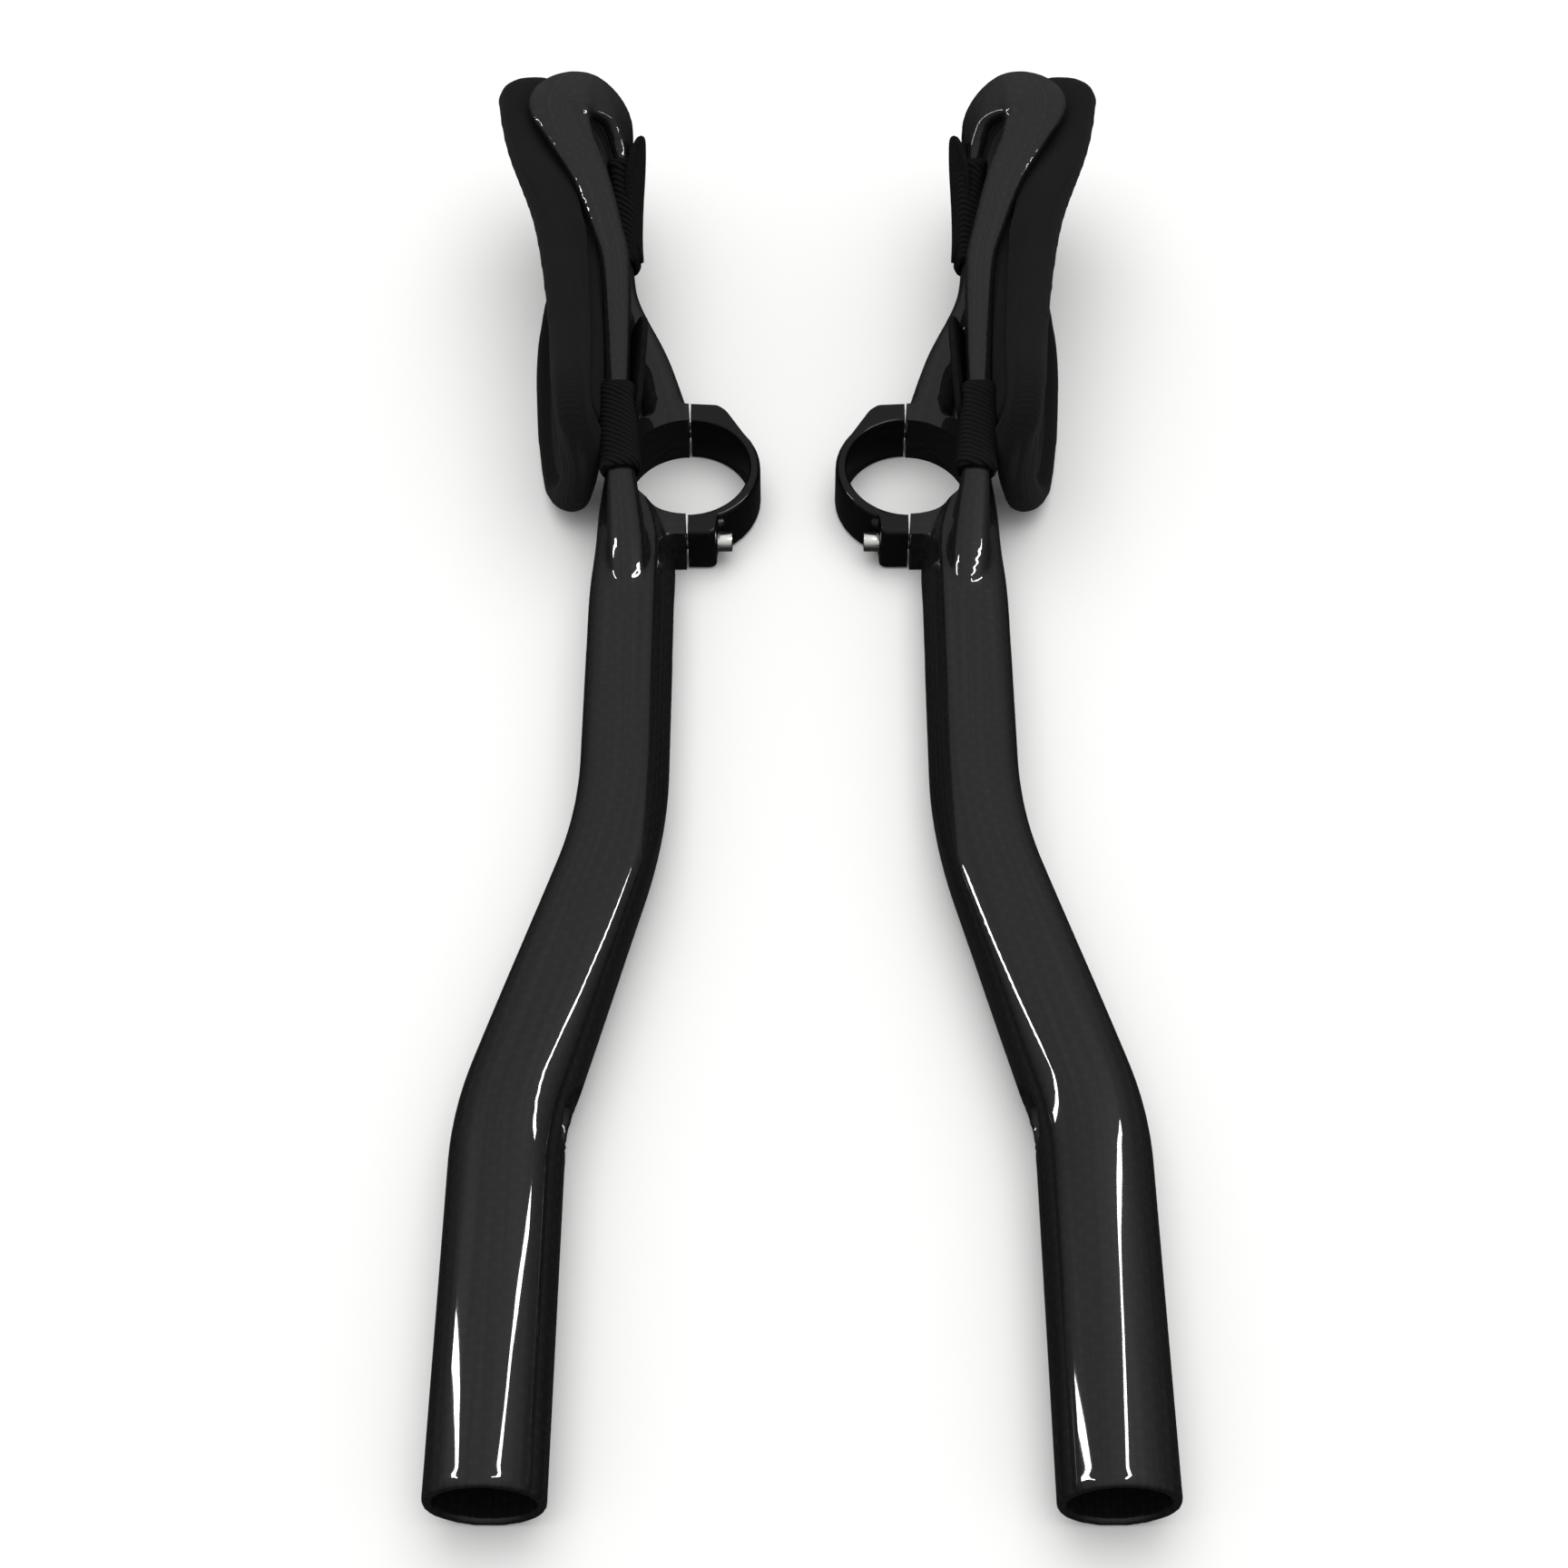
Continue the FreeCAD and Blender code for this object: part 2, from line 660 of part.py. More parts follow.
def pad_ring(table, along, share):
    """One ring of the pad; share runs from 0 at an end to 1 where its corner is over."""
    low_rise, low_height, mid_rise, mid_height, high_rise, high_height = smooth(
        table, along / size("pad_length") * (len(table) - 1)
    )
    half = size("pad_thick") / 2
    shrink = size("pad_corner") * (1 - math.sqrt(share * (2 - share)))
    bottom = size("pad_lift") + half + shrink
    top = size("pad_lift") + size("pad_width") - half - shrink
    under, over = [], []
    for k in range(PAD_POINTS):
        height = bottom + (top - bottom) * k / (PAD_POINTS - 1)
        side = (low_rise, low_height) if height < mid_height else (high_rise, high_height)
        span = side[1] - mid_height
        part = (height - mid_height) / span
        rise = mid_rise + (side[0] - mid_rise) * part ** 2.2
        grade = (side[0] - mid_rise) * 2.2 * part ** 1.2 / span
        norm = math.hypot(1, grade)
        reach = along - size("pad_front")
        under.append(point(rise - half / norm, reach, height + half * grade / norm))
        over.append(point(rise + half / norm, reach, height - half * grade / norm))
        if k in (0, PAD_POINTS - 1):
            way = -1 if k == 0 else 1
            lip = point(rise + way * half * grade / norm, reach, height + way * half / norm)
            (under if k else over).append(lip)
    lip = over.pop(1)
    return under + over[::-1] + [lip]


def make_pad():
    table = [[size("pad_%s_%s" % (name, part)) for part in LIPS] for name in PAD]
    length, corner = size("pad_length"), size("pad_corner")
    shares = [1 - math.cos(math.pi / 2 * k / PAD_ROWS) for k in range(PAD_ROWS)]
    ends = [(corner * share, share) for share in shares]
    middle = [(corner + (length - 2 * corner) * k / 5, 1.0) for k in range(6)]
    rows = ends + middle + [(length - along, share) for along, share in ends[::-1]]
    return faceted("left_arm_pad", [pad_ring(table, along, share) for along, share in rows])


# Assembly of the left bar, then the right bar as its mirror image.
FLARE = Rotation(Vector(0, 0, 1), -size("front_tab_flare"))
LEAN = Rotation(Vector(0, 1, 0), size("front_tab_lean"))
left = {
    "extension_bar": make_bar(),
    "clamp_cap": make_cap(),
    "arm_pad": make_pad(),
    "front_strap": make_strap("front"),
    "rear_strap": make_strap("rear"),
    "front_hook_tab": make_tab("front", FLARE * LEAN),
    "rear_hook_tab": make_tab("rear", Rotation(Vector(1, 0, 0), size("rear_tab_slope"))),
}
for end in ("front", "rear"):
    left[end + "_clamp_bolt"] = make_bolt(end)
    left[end + "_thread_insert"] = make_insert(end)

nodes = {}
for name, obj in left.items():
    obj.Label = "left_" + name
    nodes[obj.Label] = obj
    mirror = doc.addObject("Part::Mirroring", "right_" + name)
    mirror.Source = obj
    mirror.Normal = Vector(1, 0, 0)
    mirror.Label = "right_" + name
    nodes[mirror.Label] = mirror

doc.recompute()
for obj in doc.Objects:
    if "Invalid" in obj.State or "Error" in obj.State:
        raise RuntimeError("%s did not compute: %s" % (obj.Label, obj.State))
for name, obj in nodes.items():
    if obj.Shape.isNull() or not obj.Shape.isValid() or len(obj.Shape.Solids) != 1:
        raise RuntimeError("%s is not one valid solid" % name)

os.makedirs("parts", exist_ok=True)
for name, obj in nodes.items():
    obj.Shape.exportStep("parts/%s.step" % name)
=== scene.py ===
"""A pair of clip-on extension bars for time trials, lying on a pale table.

Sizes are in millimetres and become metres when a mesh is made. A point of the left bar is given
by its rise (from the clamp axis towards the rider's arm), its reach (from the clamp axis back
along the bar) and its height above the table; the right bar is the left one's mirror image.
"""

import bmesh
import bpy
import numpy as np
from mathutils import Matrix, Vector


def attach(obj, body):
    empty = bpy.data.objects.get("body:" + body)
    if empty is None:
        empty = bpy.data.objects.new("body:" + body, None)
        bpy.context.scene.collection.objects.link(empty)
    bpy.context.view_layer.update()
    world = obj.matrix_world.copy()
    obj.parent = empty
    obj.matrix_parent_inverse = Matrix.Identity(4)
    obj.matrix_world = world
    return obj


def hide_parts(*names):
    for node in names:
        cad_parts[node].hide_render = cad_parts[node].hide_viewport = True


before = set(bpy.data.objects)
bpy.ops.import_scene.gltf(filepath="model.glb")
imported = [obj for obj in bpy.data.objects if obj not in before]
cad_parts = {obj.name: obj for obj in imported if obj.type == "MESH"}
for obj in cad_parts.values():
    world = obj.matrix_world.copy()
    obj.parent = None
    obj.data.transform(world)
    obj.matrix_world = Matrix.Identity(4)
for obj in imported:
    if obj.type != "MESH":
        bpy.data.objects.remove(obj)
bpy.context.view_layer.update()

# Extension bars: one-piece carbon fibre mouldings, a round grip that runs through an S-bend to the
# clamp and on into the loop of the arm rest. They are laid up in a mould, cured and lacquered.
CLAMP_OFFSET, CLAMP_BACK = 28.5, 79.75
BORE_RADIUS, CLAMP_WIDTH, SPLIT = 15.9, 15.0, 0.3
GRIP_RADIUS, TIP_BORE, TIP_REACH, TIP_RISE = 12.7, 10.6, -273.5, 35.6
TUBE_RADIUS, TUBE_RISE, CABLE_WAY = 10.6, 13.3, 8.0
RIM, WAY_RUN, BORE_END, TUBE_END = 0.9, (-172.0, -200.0), -201.5, -44.0
# Bends: the reach of the corner and the radius of the arc.
FRONT_BEND, REAR_BEND = (-188.0, 75.0), (-110.0, 120.0)
# Over these runs the tube slims to its radius behind the bend, grows boxier, and tucks in under the
# shoulder. Its inner side has a flat that looks FACET degrees up and fades out towards the bend.
SLIM_RUN, BOX_RUN, TUCK_RUN = (-196.0, -110.0), (-200.0, -110.0), (-62.0, -44.0)
BOXIER, TUCK, SHOULDER_BOX = 1.3, 1.2, 3.3
FACET, FACET_DEPTH, FACET_FADE, FADE_RUN = 25.0, 0.92, 0.4, (95.0, 150.0)
# Clamp half: wall of the ring, far corner of the lugs and its radius, and stock left past the split.
RING_WALL, LUG_RISE, LUG_REACH, LUG_CORNER, STOCK = 5.6, 10.5, 22.4, 3.5, -2.0
# Thread inserts: reach of their axis, depth below the split and radius of their seats.
INSERT_REACH, INSERT_DEPTH, INSERT_SEAT = BORE_RADIUS + 3.1, 8.1, 3.05
# Cable exit: a scoop that narrows to an oval hole, its rise and radius step by step, and how much
# longer than wide it is.
EXIT_RISE, EXIT_RADIUS, EXIT_STRETCH = (14.0, 21.0, 24.0, 34.0), (9.0, 6.2, 4.2, 4.2), 1.5
# Width of a carbon tow, the mean radii that the weave is wrapped round, and the grid of the mesh.
TOW, TUBE_ROUND, LOOP_ROUND, BAR_GRID = 2.0, 11.0, 6.0, 0.0007
OUT, CORNER, UNDER = (0, 0, 1), (0, -1, 1), (0, -1, 0)

# Loop stations: reach, rise, height, half width, half thickness, boxiness and outer face's look.
LOOP = np.array([
    (-50.0, 13.6, 17.0, 4.6, 4.4, 2.3, *OUT),
    (-34.0, 14.2, 22.8, 5.0, 4.8, 2.3, *OUT),
    (-14.0, 16.2, 28.8, 3.6, 3.6, 2.6, *OUT),
    (-2.5, 17.2, 31.6, 3.2, 3.2, 3.0, *OUT),
    (9.5, 17.6, 34.4, 3.2, 3.1, 3.0, *OUT),
    (42.0, 18.7, 42.2, 3.8, 2.9, 3.4, *OUT),
    (55.0, 21.4, 45.4, 4.1, 2.6, 3.6, *OUT),
    (69.5, 26.0, 49.4, 4.9, 2.4, 3.8, *OUT),
    (81.5, 31.6, 52.8, 6.2, 2.3, 4.0, *OUT),
    (92.0, 34.6, 55.0, 8.6, 2.3, 4.0, *OUT),
    (95.8, 28.0, 54.6, 8.0, 2.3, 3.8, *OUT),
    (93.6, 20.4, 48.4, 5.6, 2.4, 3.6, *CORNER),
    (84.5, 18.4, 39.0, 5.2, 2.3, 3.5, *UNDER),
    (70.0, 18.2, 28.6, 6.4, 2.3, 3.2, *UNDER),
    (54.0, 17.4, 19.6, 7.2, 3.1, 3.4, *UNDER),
    (37.0, 11.0, 12.0, 6.8, 5.2, 3.8, *UNDER),
    (19.5, 6.2, 7.6, 6.2, 6.4, 4.0, *UNDER),
])
# Shoulder stations: reach, rise, height, half depth and half width.
SHOULDER = np.array([
    (-64.0, 13.3, 12.7, 10.55, 10.55),
    (-44.0, 13.3, 12.7, 10.5, 10.5),
    (-28.0, 13.0, 11.6, 10.2, 10.0),
    (-13.0, 14.6, 9.2, 8.8, 8.2),
    (2.0, 17.5, 7.7, 7.3, 4.2),
])


def laid(rise, reach, height):
    """Points on the table frame: X is minus the offset and rise, Y the reach, Z the height."""
    return np.stack(np.broadcast_arrays(-(CLAMP_OFFSET + rise), CLAMP_BACK + reach, height), axis=-1)


def curve_through(table, spots):
    """Cubic through the rows of a table, spots counting rows, slopes set by both neighbours."""
    padded = np.vstack([table[:1], table, table[-1:]])
    base = np.clip(np.floor(spots).astype(int), 0, len(table) - 2)
    t = (spots - base)[:, None]
    a, b, c, d = (padded[base + k] for k in range(4))
    square, cube = a - 2.5 * b + 2 * c - d / 2, 1.5 * (b - c) + (d - a) / 2
    return b + t * (c - a) / 2 + t**2 * square + t**3 * cube


def superellipse(power, count):
    """Unit outline x = sign(cos) |cos|^(2/p), y = sign(sin) |sin|^(2/p): round at 2, boxy above."""
    turn = np.linspace(0, 2 * np.pi, count, endpoint=False)
    power = np.asarray(power, float).reshape(-1, 1)
    x = np.sign(np.cos(turn)) * np.abs(np.cos(turn)) ** (2 / power)
    y = np.sign(np.sin(turn)) * np.abs(np.sin(turn)) ** (2 / power)
    return x, y


def rings_at(centre, across, over, half_width, half_thick, power, count=48):
    """One outline for each centre: centre + across * width * x + over * thickness * y."""
    x, y = superellipse(power, count)
    wide = across[:, None] * (half_width[:, None] * x)[..., None]
    return centre[:, None] + wide + over[:, None] * (half_thick[:, None] * y)[..., None]


def skin(rings, capped=True):
    """Quads between neighbouring rings; polygons close the ends, or the last ring meets the first."""
    rows, count = rings.shape[:2]
    index = np.arange(rows * count).reshape(rows, count)
    if not capped:
        index = np.vstack([index, index[:1]])
    ahead = np.roll(index, -1, axis=1)
    quads = np.stack([index[:-1], ahead[:-1], ahead[1:], index[1:]], axis=-1).reshape(-1, 4)
    ends = [index[0, ::-1].tolist(), index[-1].tolist()] if capped else []
    return rings.reshape(-1, 3), quads.tolist() + ends


def merged(parts):
    """Several (points, faces) pairs as one pair."""
    points, faces, start = [], [], 0
    for spots, loops in parts:
        points.append(spots)
        faces += [[start + k for k in loop] for loop in loops]
        start += len(spots)
    return np.vstack(points), faces


def mesh_of(name, points, faces):
    """Mesh in metres with all faces turned outwards and shaded smooth."""
    mesh = bpy.data.meshes.new(name)
    mesh.from_pydata(np.asarray(points) * 0.001, [], faces)
    turned = bmesh.new()
    turned.from_mesh(mesh)
    bmesh.ops.remove_doubles(turned, verts=turned.verts, dist=1e-6)
    bmesh.ops.recalc_face_normals(turned, faces=turned.faces)
    turned.to_mesh(mesh)
    turned.free()
    mesh.shade_smooth()
    return mesh


def shown(name, mesh):
    """A new object for the mesh, linked to the scene."""
    obj = bpy.data.objects.new(name, mesh)
    bpy.context.scene.collection.objects.link(obj)
    return obj


def modified(mesh, kind, **settings):
    """The mesh after one modifier, as a mesh of its own."""
    obj = shown("work", mesh)
    modifier = obj.modifiers.new("work", kind)
    for key, value in settings.items():
        setattr(modifier, key, value)
    ready = obj.evaluated_get(bpy.context.evaluated_depsgraph_get())
    made = bpy.data.meshes.new_from_object(ready)
    bpy.data.objects.remove(obj)
    return made


def mirrored(mesh):
    """The mesh on the other side of the pair, its faces turned outwards again."""
    other = mesh.copy()
    other.transform(Matrix.Scale(-1, 4, (1, 0, 0)))
    other.flip_normals()
    return other


def spots_of(mesh, kind="co"):
    """Vertex positions in millimetres, or the vertex normals, as an array."""
    values = np.empty(len(mesh.vertices) * 3, np.float32)
    if kind == "co":
        mesh.vertices.foreach_get("co", values)
        return values.reshape(-1, 3).astype(float) * 1000
    mesh.vertex_normals.foreach_get("vector", values)
    return values.reshape(-1, 3).astype(float)


def set_spots(mesh, points):
    """Put the vertices at these points, given in millimetres."""
    mesh.vertices.foreach_set("co", (points * 0.001).astype(np.float32).ravel())
    mesh.update()


def ironed(mesh, rounds, where=1.0):
    """Each point goes half way to the mean of its neighbours, then 0.53 back, so nothing shrinks;
    where holds one weight for all points or one for each."""
    ends = np.empty(len(mesh.edges) * 2, np.int32)
    mesh.edges.foreach_get("vertices", ends)
    first, second = ends.reshape(-1, 2).T
    points = spots_of(mesh)
    count = np.bincount(ends, minlength=len(points))[:, None]
    for share in (0.5, -0.53) * rounds:
        sums = [
            np.bincount(first, points[second, k], len(points))
            + np.bincount(second, points[first, k], len(points))
            for k in range(3)
        ]
        points = points + share * np.reshape(where, (-1, 1)) * (np.stack(sums, axis=1) / count - points)
    set_spots(mesh, points)


def tube_line(reach):
    """Rise and heading of the tube: the sine of its heading grows evenly along each bend's arc."""
    drop = np.arctan2(TIP_RISE - TUBE_RISE, REAR_BEND[0] - FRONT_BEND[0])
    start = FRONT_BEND[0] - FRONT_BEND[1] * np.tan(drop / 2)
    stop = REAR_BEND[0] + REAR_BEND[1] * np.tan(drop / 2)
    fine = np.linspace(TIP_REACH, 0, 6000)
    sine = np.minimum((fine - start) / FRONT_BEND[1], (stop - fine) / REAR_BEND[1])
    heading = np.arcsin(np.clip(sine, 0, np.sin(drop)))
    fall = np.concatenate([[0], np.cumsum(np.tan(heading[:-1]) * np.diff(fine))])
    return np.interp(reach, fine, TIP_RISE - fall), np.interp(reach, fine, heading)


def eased(value, low, high):
    """Smooth step from 0 at low to 1 at high."""
    t = np.clip((value - low) / (high - low), 0, 1)
    return t * t * (3 - 2 * t)


def planed(rings, centre, across, depth):
    """Flatten each ring's upper inner side: points beyond the plane a * cos + u * sin = depth, which
    faces inwards and FACET degrees up, drop back on to it; a is across and u up from the centre."""
    facet = np.radians(FACET)
    away = rings - centre[:, None]
    inner = np.sum(away * across[:, None], axis=2)
    beyond = inner * np.cos(facet) + away[..., 2] * np.sin(facet) - depth[:, None]
    normal = across * np.cos(facet) + np.array((0.0, 0.0, np.sin(facet)))
    return rings - np.maximum(beyond, 0)[..., None] * normal[:, None]


def tube_surface():
    """Rings along the centre line: up the cable way and tip bore, round the rim, back outside."""
    way = np.linspace(*WAY_RUN, 12)
    bore = np.linspace(BORE_END, TIP_REACH + RIM, 24)
    rim = np.linspace(0, np.pi, 9)
    outside = np.linspace(TIP_REACH + RIM, TUBE_END, 150)
    reach = np.concatenate([way, bore, TIP_REACH + RIM - RIM * np.sin(rim), outside])
    slim = (TUBE_RADIUS - GRIP_RADIUS) * eased(outside, *SLIM_RUN)
    wall = (GRIP_RADIUS - TIP_BORE) / 2
    radius = np.concatenate([
        np.full(len(way), CABLE_WAY), np.full(len(bore), TIP_BORE),
        TIP_BORE + wall - wall * np.cos(rim),
        GRIP_RADIUS + slim - TUCK * eased(outside, *TUCK_RUN),
    ])
    boxy = np.full(len(reach), 2.0)
    boxy[-len(outside):] += BOXIER * eased(outside, *BOX_RUN)
    rise, heading = tube_line(reach)
    centre = laid(rise, reach, GRIP_RADIUS)
    across = np.stack([np.cos(heading), -np.sin(heading), 0 * heading], axis=1)
    up = np.tile((0.0, 0.0, 1.0), (len(reach), 1))
    depth = radius * (FACET_DEPTH + FACET_FADE * eased(-reach, *FADE_RUN))
    return skin(planed(rings_at(centre, across, up, radius, radius, boxy), centre, across, depth))


def shoulder_surface():
    """Boxy ovals square to the bar that carry the tube on over the clamp."""
    steps = np.linspace(0, len(SHOULDER) - 1, 49)
    reach, rise, height, depth, width = curve_through(SHOULDER, steps).T
    up = np.tile((0.0, 0.0, 1.0), (len(steps), 1))
    across = np.tile((1.0, 0.0, 0.0), (len(steps), 1))
    centre = laid(rise, reach, height)
    rings = rings_at(centre, across, up, width, depth, np.full(len(steps), SHOULDER_BOX))
    return skin(planed(rings, centre, across, width * FACET_DEPTH))


def loop_rings(spots, grow, count=64):
    """Flattened ovals square to the loop's path at the given stations, each side grown by grow."""
    reach, rise, height, width, thick, boxy, *look = curve_through(LOOP, spots).T
    step = 0.02
    ahead = curve_through(LOOP, np.minimum(spots + step, len(LOOP) - 1))
    behind = curve_through(LOOP, np.maximum(spots - step, 0))
    along = laid(ahead[:, 1], ahead[:, 0], ahead[:, 2]) - laid(behind[:, 1], behind[:, 0], behind[:, 2])
    along /= np.linalg.norm(along, axis=1, keepdims=True)
    over = np.stack([-look[1], look[0], look[2]], axis=1)
    over -= along * np.sum(over * along, axis=1, keepdims=True)
    over /= np.linalg.norm(over, axis=1, keepdims=True)
    across = np.cross(over, along)
    return rings_at(laid(rise, reach, height), across, over, width + grow, thick + grow, boxy, count)


def prism(outline, low, high):
    """An outline of (rise, reach) points drawn up from one height to another."""
    flat = np.asarray(outline, float)
    levels = np.array([low, high])[:, None]
    return skin(laid(flat[None, :, 0], flat[None, :, 1], levels + 0 * flat[None, :, 0]))


def rod(rise, reach, height, radius, count, axis, stretch=1.0):
    """A rod along one axis: at each step an outline of count sides with that step's radius, its
    second side stretched."""
    turn = np.linspace(0, 2 * np.pi, count, endpoint=False) + np.pi / 6
    radius = np.reshape(radius, (-1, 1))
    x, y = radius * np.cos(turn), radius * np.sin(turn) * stretch
    if axis == "height":
        rings = laid(rise + x, reach + y, np.array(height)[:, None])
    else:
        rings = laid(np.array(rise)[:, None], reach + y, height + x)
    return skin(rings)


def clamp_half():
    """Half ring and lugs in plan: an outer arc that runs out into a rounded lug at each end."""
    turn = np.radians(np.linspace(-62, 62, 60))
    arc = (BORE_RADIUS + RING_WALL) * np.stack([np.cos(turn), np.sin(turn)], axis=1)
    bend = np.radians(np.linspace(0, 90, 9))
    centre = np.array((LUG_RISE - LUG_CORNER, LUG_REACH - LUG_CORNER))
    lug = centre + LUG_CORNER * np.stack([np.cos(bend), np.sin(bend)], axis=1)
    front = lug * (1, -1)
    ends = np.array([(STOCK, LUG_REACH), (STOCK, -LUG_REACH)])
    return prism(np.vstack([arc, lug, ends, front[::-1]]), 0.0, CLAMP_WIDTH)


def cut(mesh, surface):
    """The mesh less a closed surface."""
    tool = shown("tool", mesh_of("tool", *surface))
    made = modified(mesh, "BOOLEAN", object=tool, operation="DIFFERENCE", solver="MANIFOLD")
    bpy.data.objects.remove(tool)
    return made


def weave_map(mesh):
    """UV in tow widths: the angle round the nearer of tube and loop times its mean radius, and the
    length along it."""
    reach = np.linspace(TIP_REACH, -8, 500)
    rise, _ = tube_line(reach)
    tube = laid(rise, reach, GRIP_RADIUS)
    rows = curve_through(LOOP, np.linspace(0, len(LOOP) - 1, 500))
    loop = laid(rows[:, 1], rows[:, 0], rows[:, 2])
    points = spots_of(mesh)
    maps = []
    for line, round_size in ((tube, TUBE_ROUND), (loop, LOOP_ROUND)):
        near = np.concatenate([
            np.argmin(((chunk[:, None] - line[None]) ** 2).sum(axis=2), axis=1)
            for chunk in np.array_split(points, 60)
        ])
        along = np.concatenate([[0], np.cumsum(np.linalg.norm(np.diff(line, axis=0), axis=1))])
        away = points - line[near]
        turn = np.arctan2(away[:, 0], away[:, 2])
        maps.append((turn, along[near], np.linalg.norm(away, axis=1) / round_size, round_size))
    corner = np.empty(len(mesh.loops), np.int32)
    mesh.loops.foreach_get("vertex_index", corner)
    start = np.empty(len(mesh.polygons), np.int32)
    total = np.empty(len(mesh.polygons), np.int32)
    mesh.polygons.foreach_get("loop_start", start)
    mesh.polygons.foreach_get("loop_total", total)
    lead = np.repeat(corner[start], total)
    on_loop = (maps[1][2] < maps[0][2])[lead]
    uv = np.empty((len(corner), 2), np.float32)
    for (turn, along, _, round_size), mine in zip(maps, (~on_loop, on_loop)):
        step = (turn[corner] - turn[lead] + np.pi) % (2 * np.pi) - np.pi
        uv[mine, 0] = ((turn[lead] + step) * round_size / TOW)[mine]
        uv[mine, 1] = (along[corner] / TOW)[mine]
    layer = mesh.uv_layers.new(name="weave")
    layer.data.foreach_set("uv", uv.ravel())


loop_spots = np.linspace(0, len(LOOP) - 1, 321)
bar_mesh = mesh_of("left_bar", *merged([
    tube_surface(), shoulder_surface(), skin(loop_rings(loop_spots, 0.0)), clamp_half(),
]))
bar_mesh = modified(bar_mesh, "REMESH", mode="VOXEL", voxel_size=BAR_GRID)
scoop = rod(EXIT_RISE, FRONT_BEND[0], GRIP_RADIUS, EXIT_RADIUS, 48, "rise", EXIT_STRETCH)
bar_mesh = cut(bar_mesh, scoop)
bar_mesh = modified(bar_mesh, "REMESH", mode="VOXEL", voxel_size=BAR_GRID)
ironed(bar_mesh, 30)
# Long reflections run over the nose of the loop and the edge of its wing, so these are ironed more.
# Each range is a fade in millimetres of reach, rise or height.
spots = spots_of(bar_mesh)
rise, reach, height = -spots[:, 0] - CLAMP_OFFSET, spots[:, 1] - CLAMP_BACK, spots[:, 2]
nose = eased(reach, -66, -54) * eased(-reach, 10, 22) * eased(height, 13, 18) * eased(rise, 7.5, 10.0)
wing = eased(reach, 30, 44) * eased(height, 38, 42)
ironed(bar_mesh, 40, np.maximum(nose, wing))
# The handlebar's bore, the cap's half of the clamp and the seats of the inserts are cut last, so that
# their edges stay sharp.
bar_mesh = cut(bar_mesh, rod(0.0, 0.0, (-5.0, 21.0), BORE_RADIUS, 160, "height"))
bar_mesh = cut(bar_mesh, prism([(SPLIT, -45), (SPLIT, 45), (-30, 45), (-30, -45)], -5, 40))
for side in (-1, 1):
    seat = (STOCK, SPLIT + INSERT_DEPTH), side * INSERT_REACH, CLAMP_WIDTH / 2, INSERT_SEAT
    bar_mesh = cut(bar_mesh, rod(*seat, 6, "rise"))
weave_map(bar_mesh)
bar_mesh.shade_smooth()
bar_mesh.set_sharp_from_angle(angle=np.radians(40))


def linear(code):
    """An sRGB hex colour as linear RGBA."""
    channels = np.array([int(code[k:k + 2], 16) for k in (1, 3, 5)]) / 255
    low, high = channels / 12.92, ((channels + 0.055) / 1.055) ** 2.4
    return (*np.where(channels <= 0.04045, low, high).tolist(), 1.0)


def add(tree, kind, sockets=None, **settings):
    """Add a node: its settings, then its inputs by name or number, each a value or a link."""
    made = tree.nodes.new("ShaderNode" + kind)
    for key, value in settings.items():
        setattr(made, key, value)
    for key, value in (sockets or {}).items():
        if isinstance(value, bpy.types.NodeSocket):
            tree.links.new(value, made.inputs[key])
        else:
            made.inputs[key].default_value = value
    return made


def finish_tree(name):
    """A new material and its empty node tree."""
    material = bpy.data.materials.new(name)
    material.use_nodes = True
    material.node_tree.nodes.clear()
    return material, material.node_tree


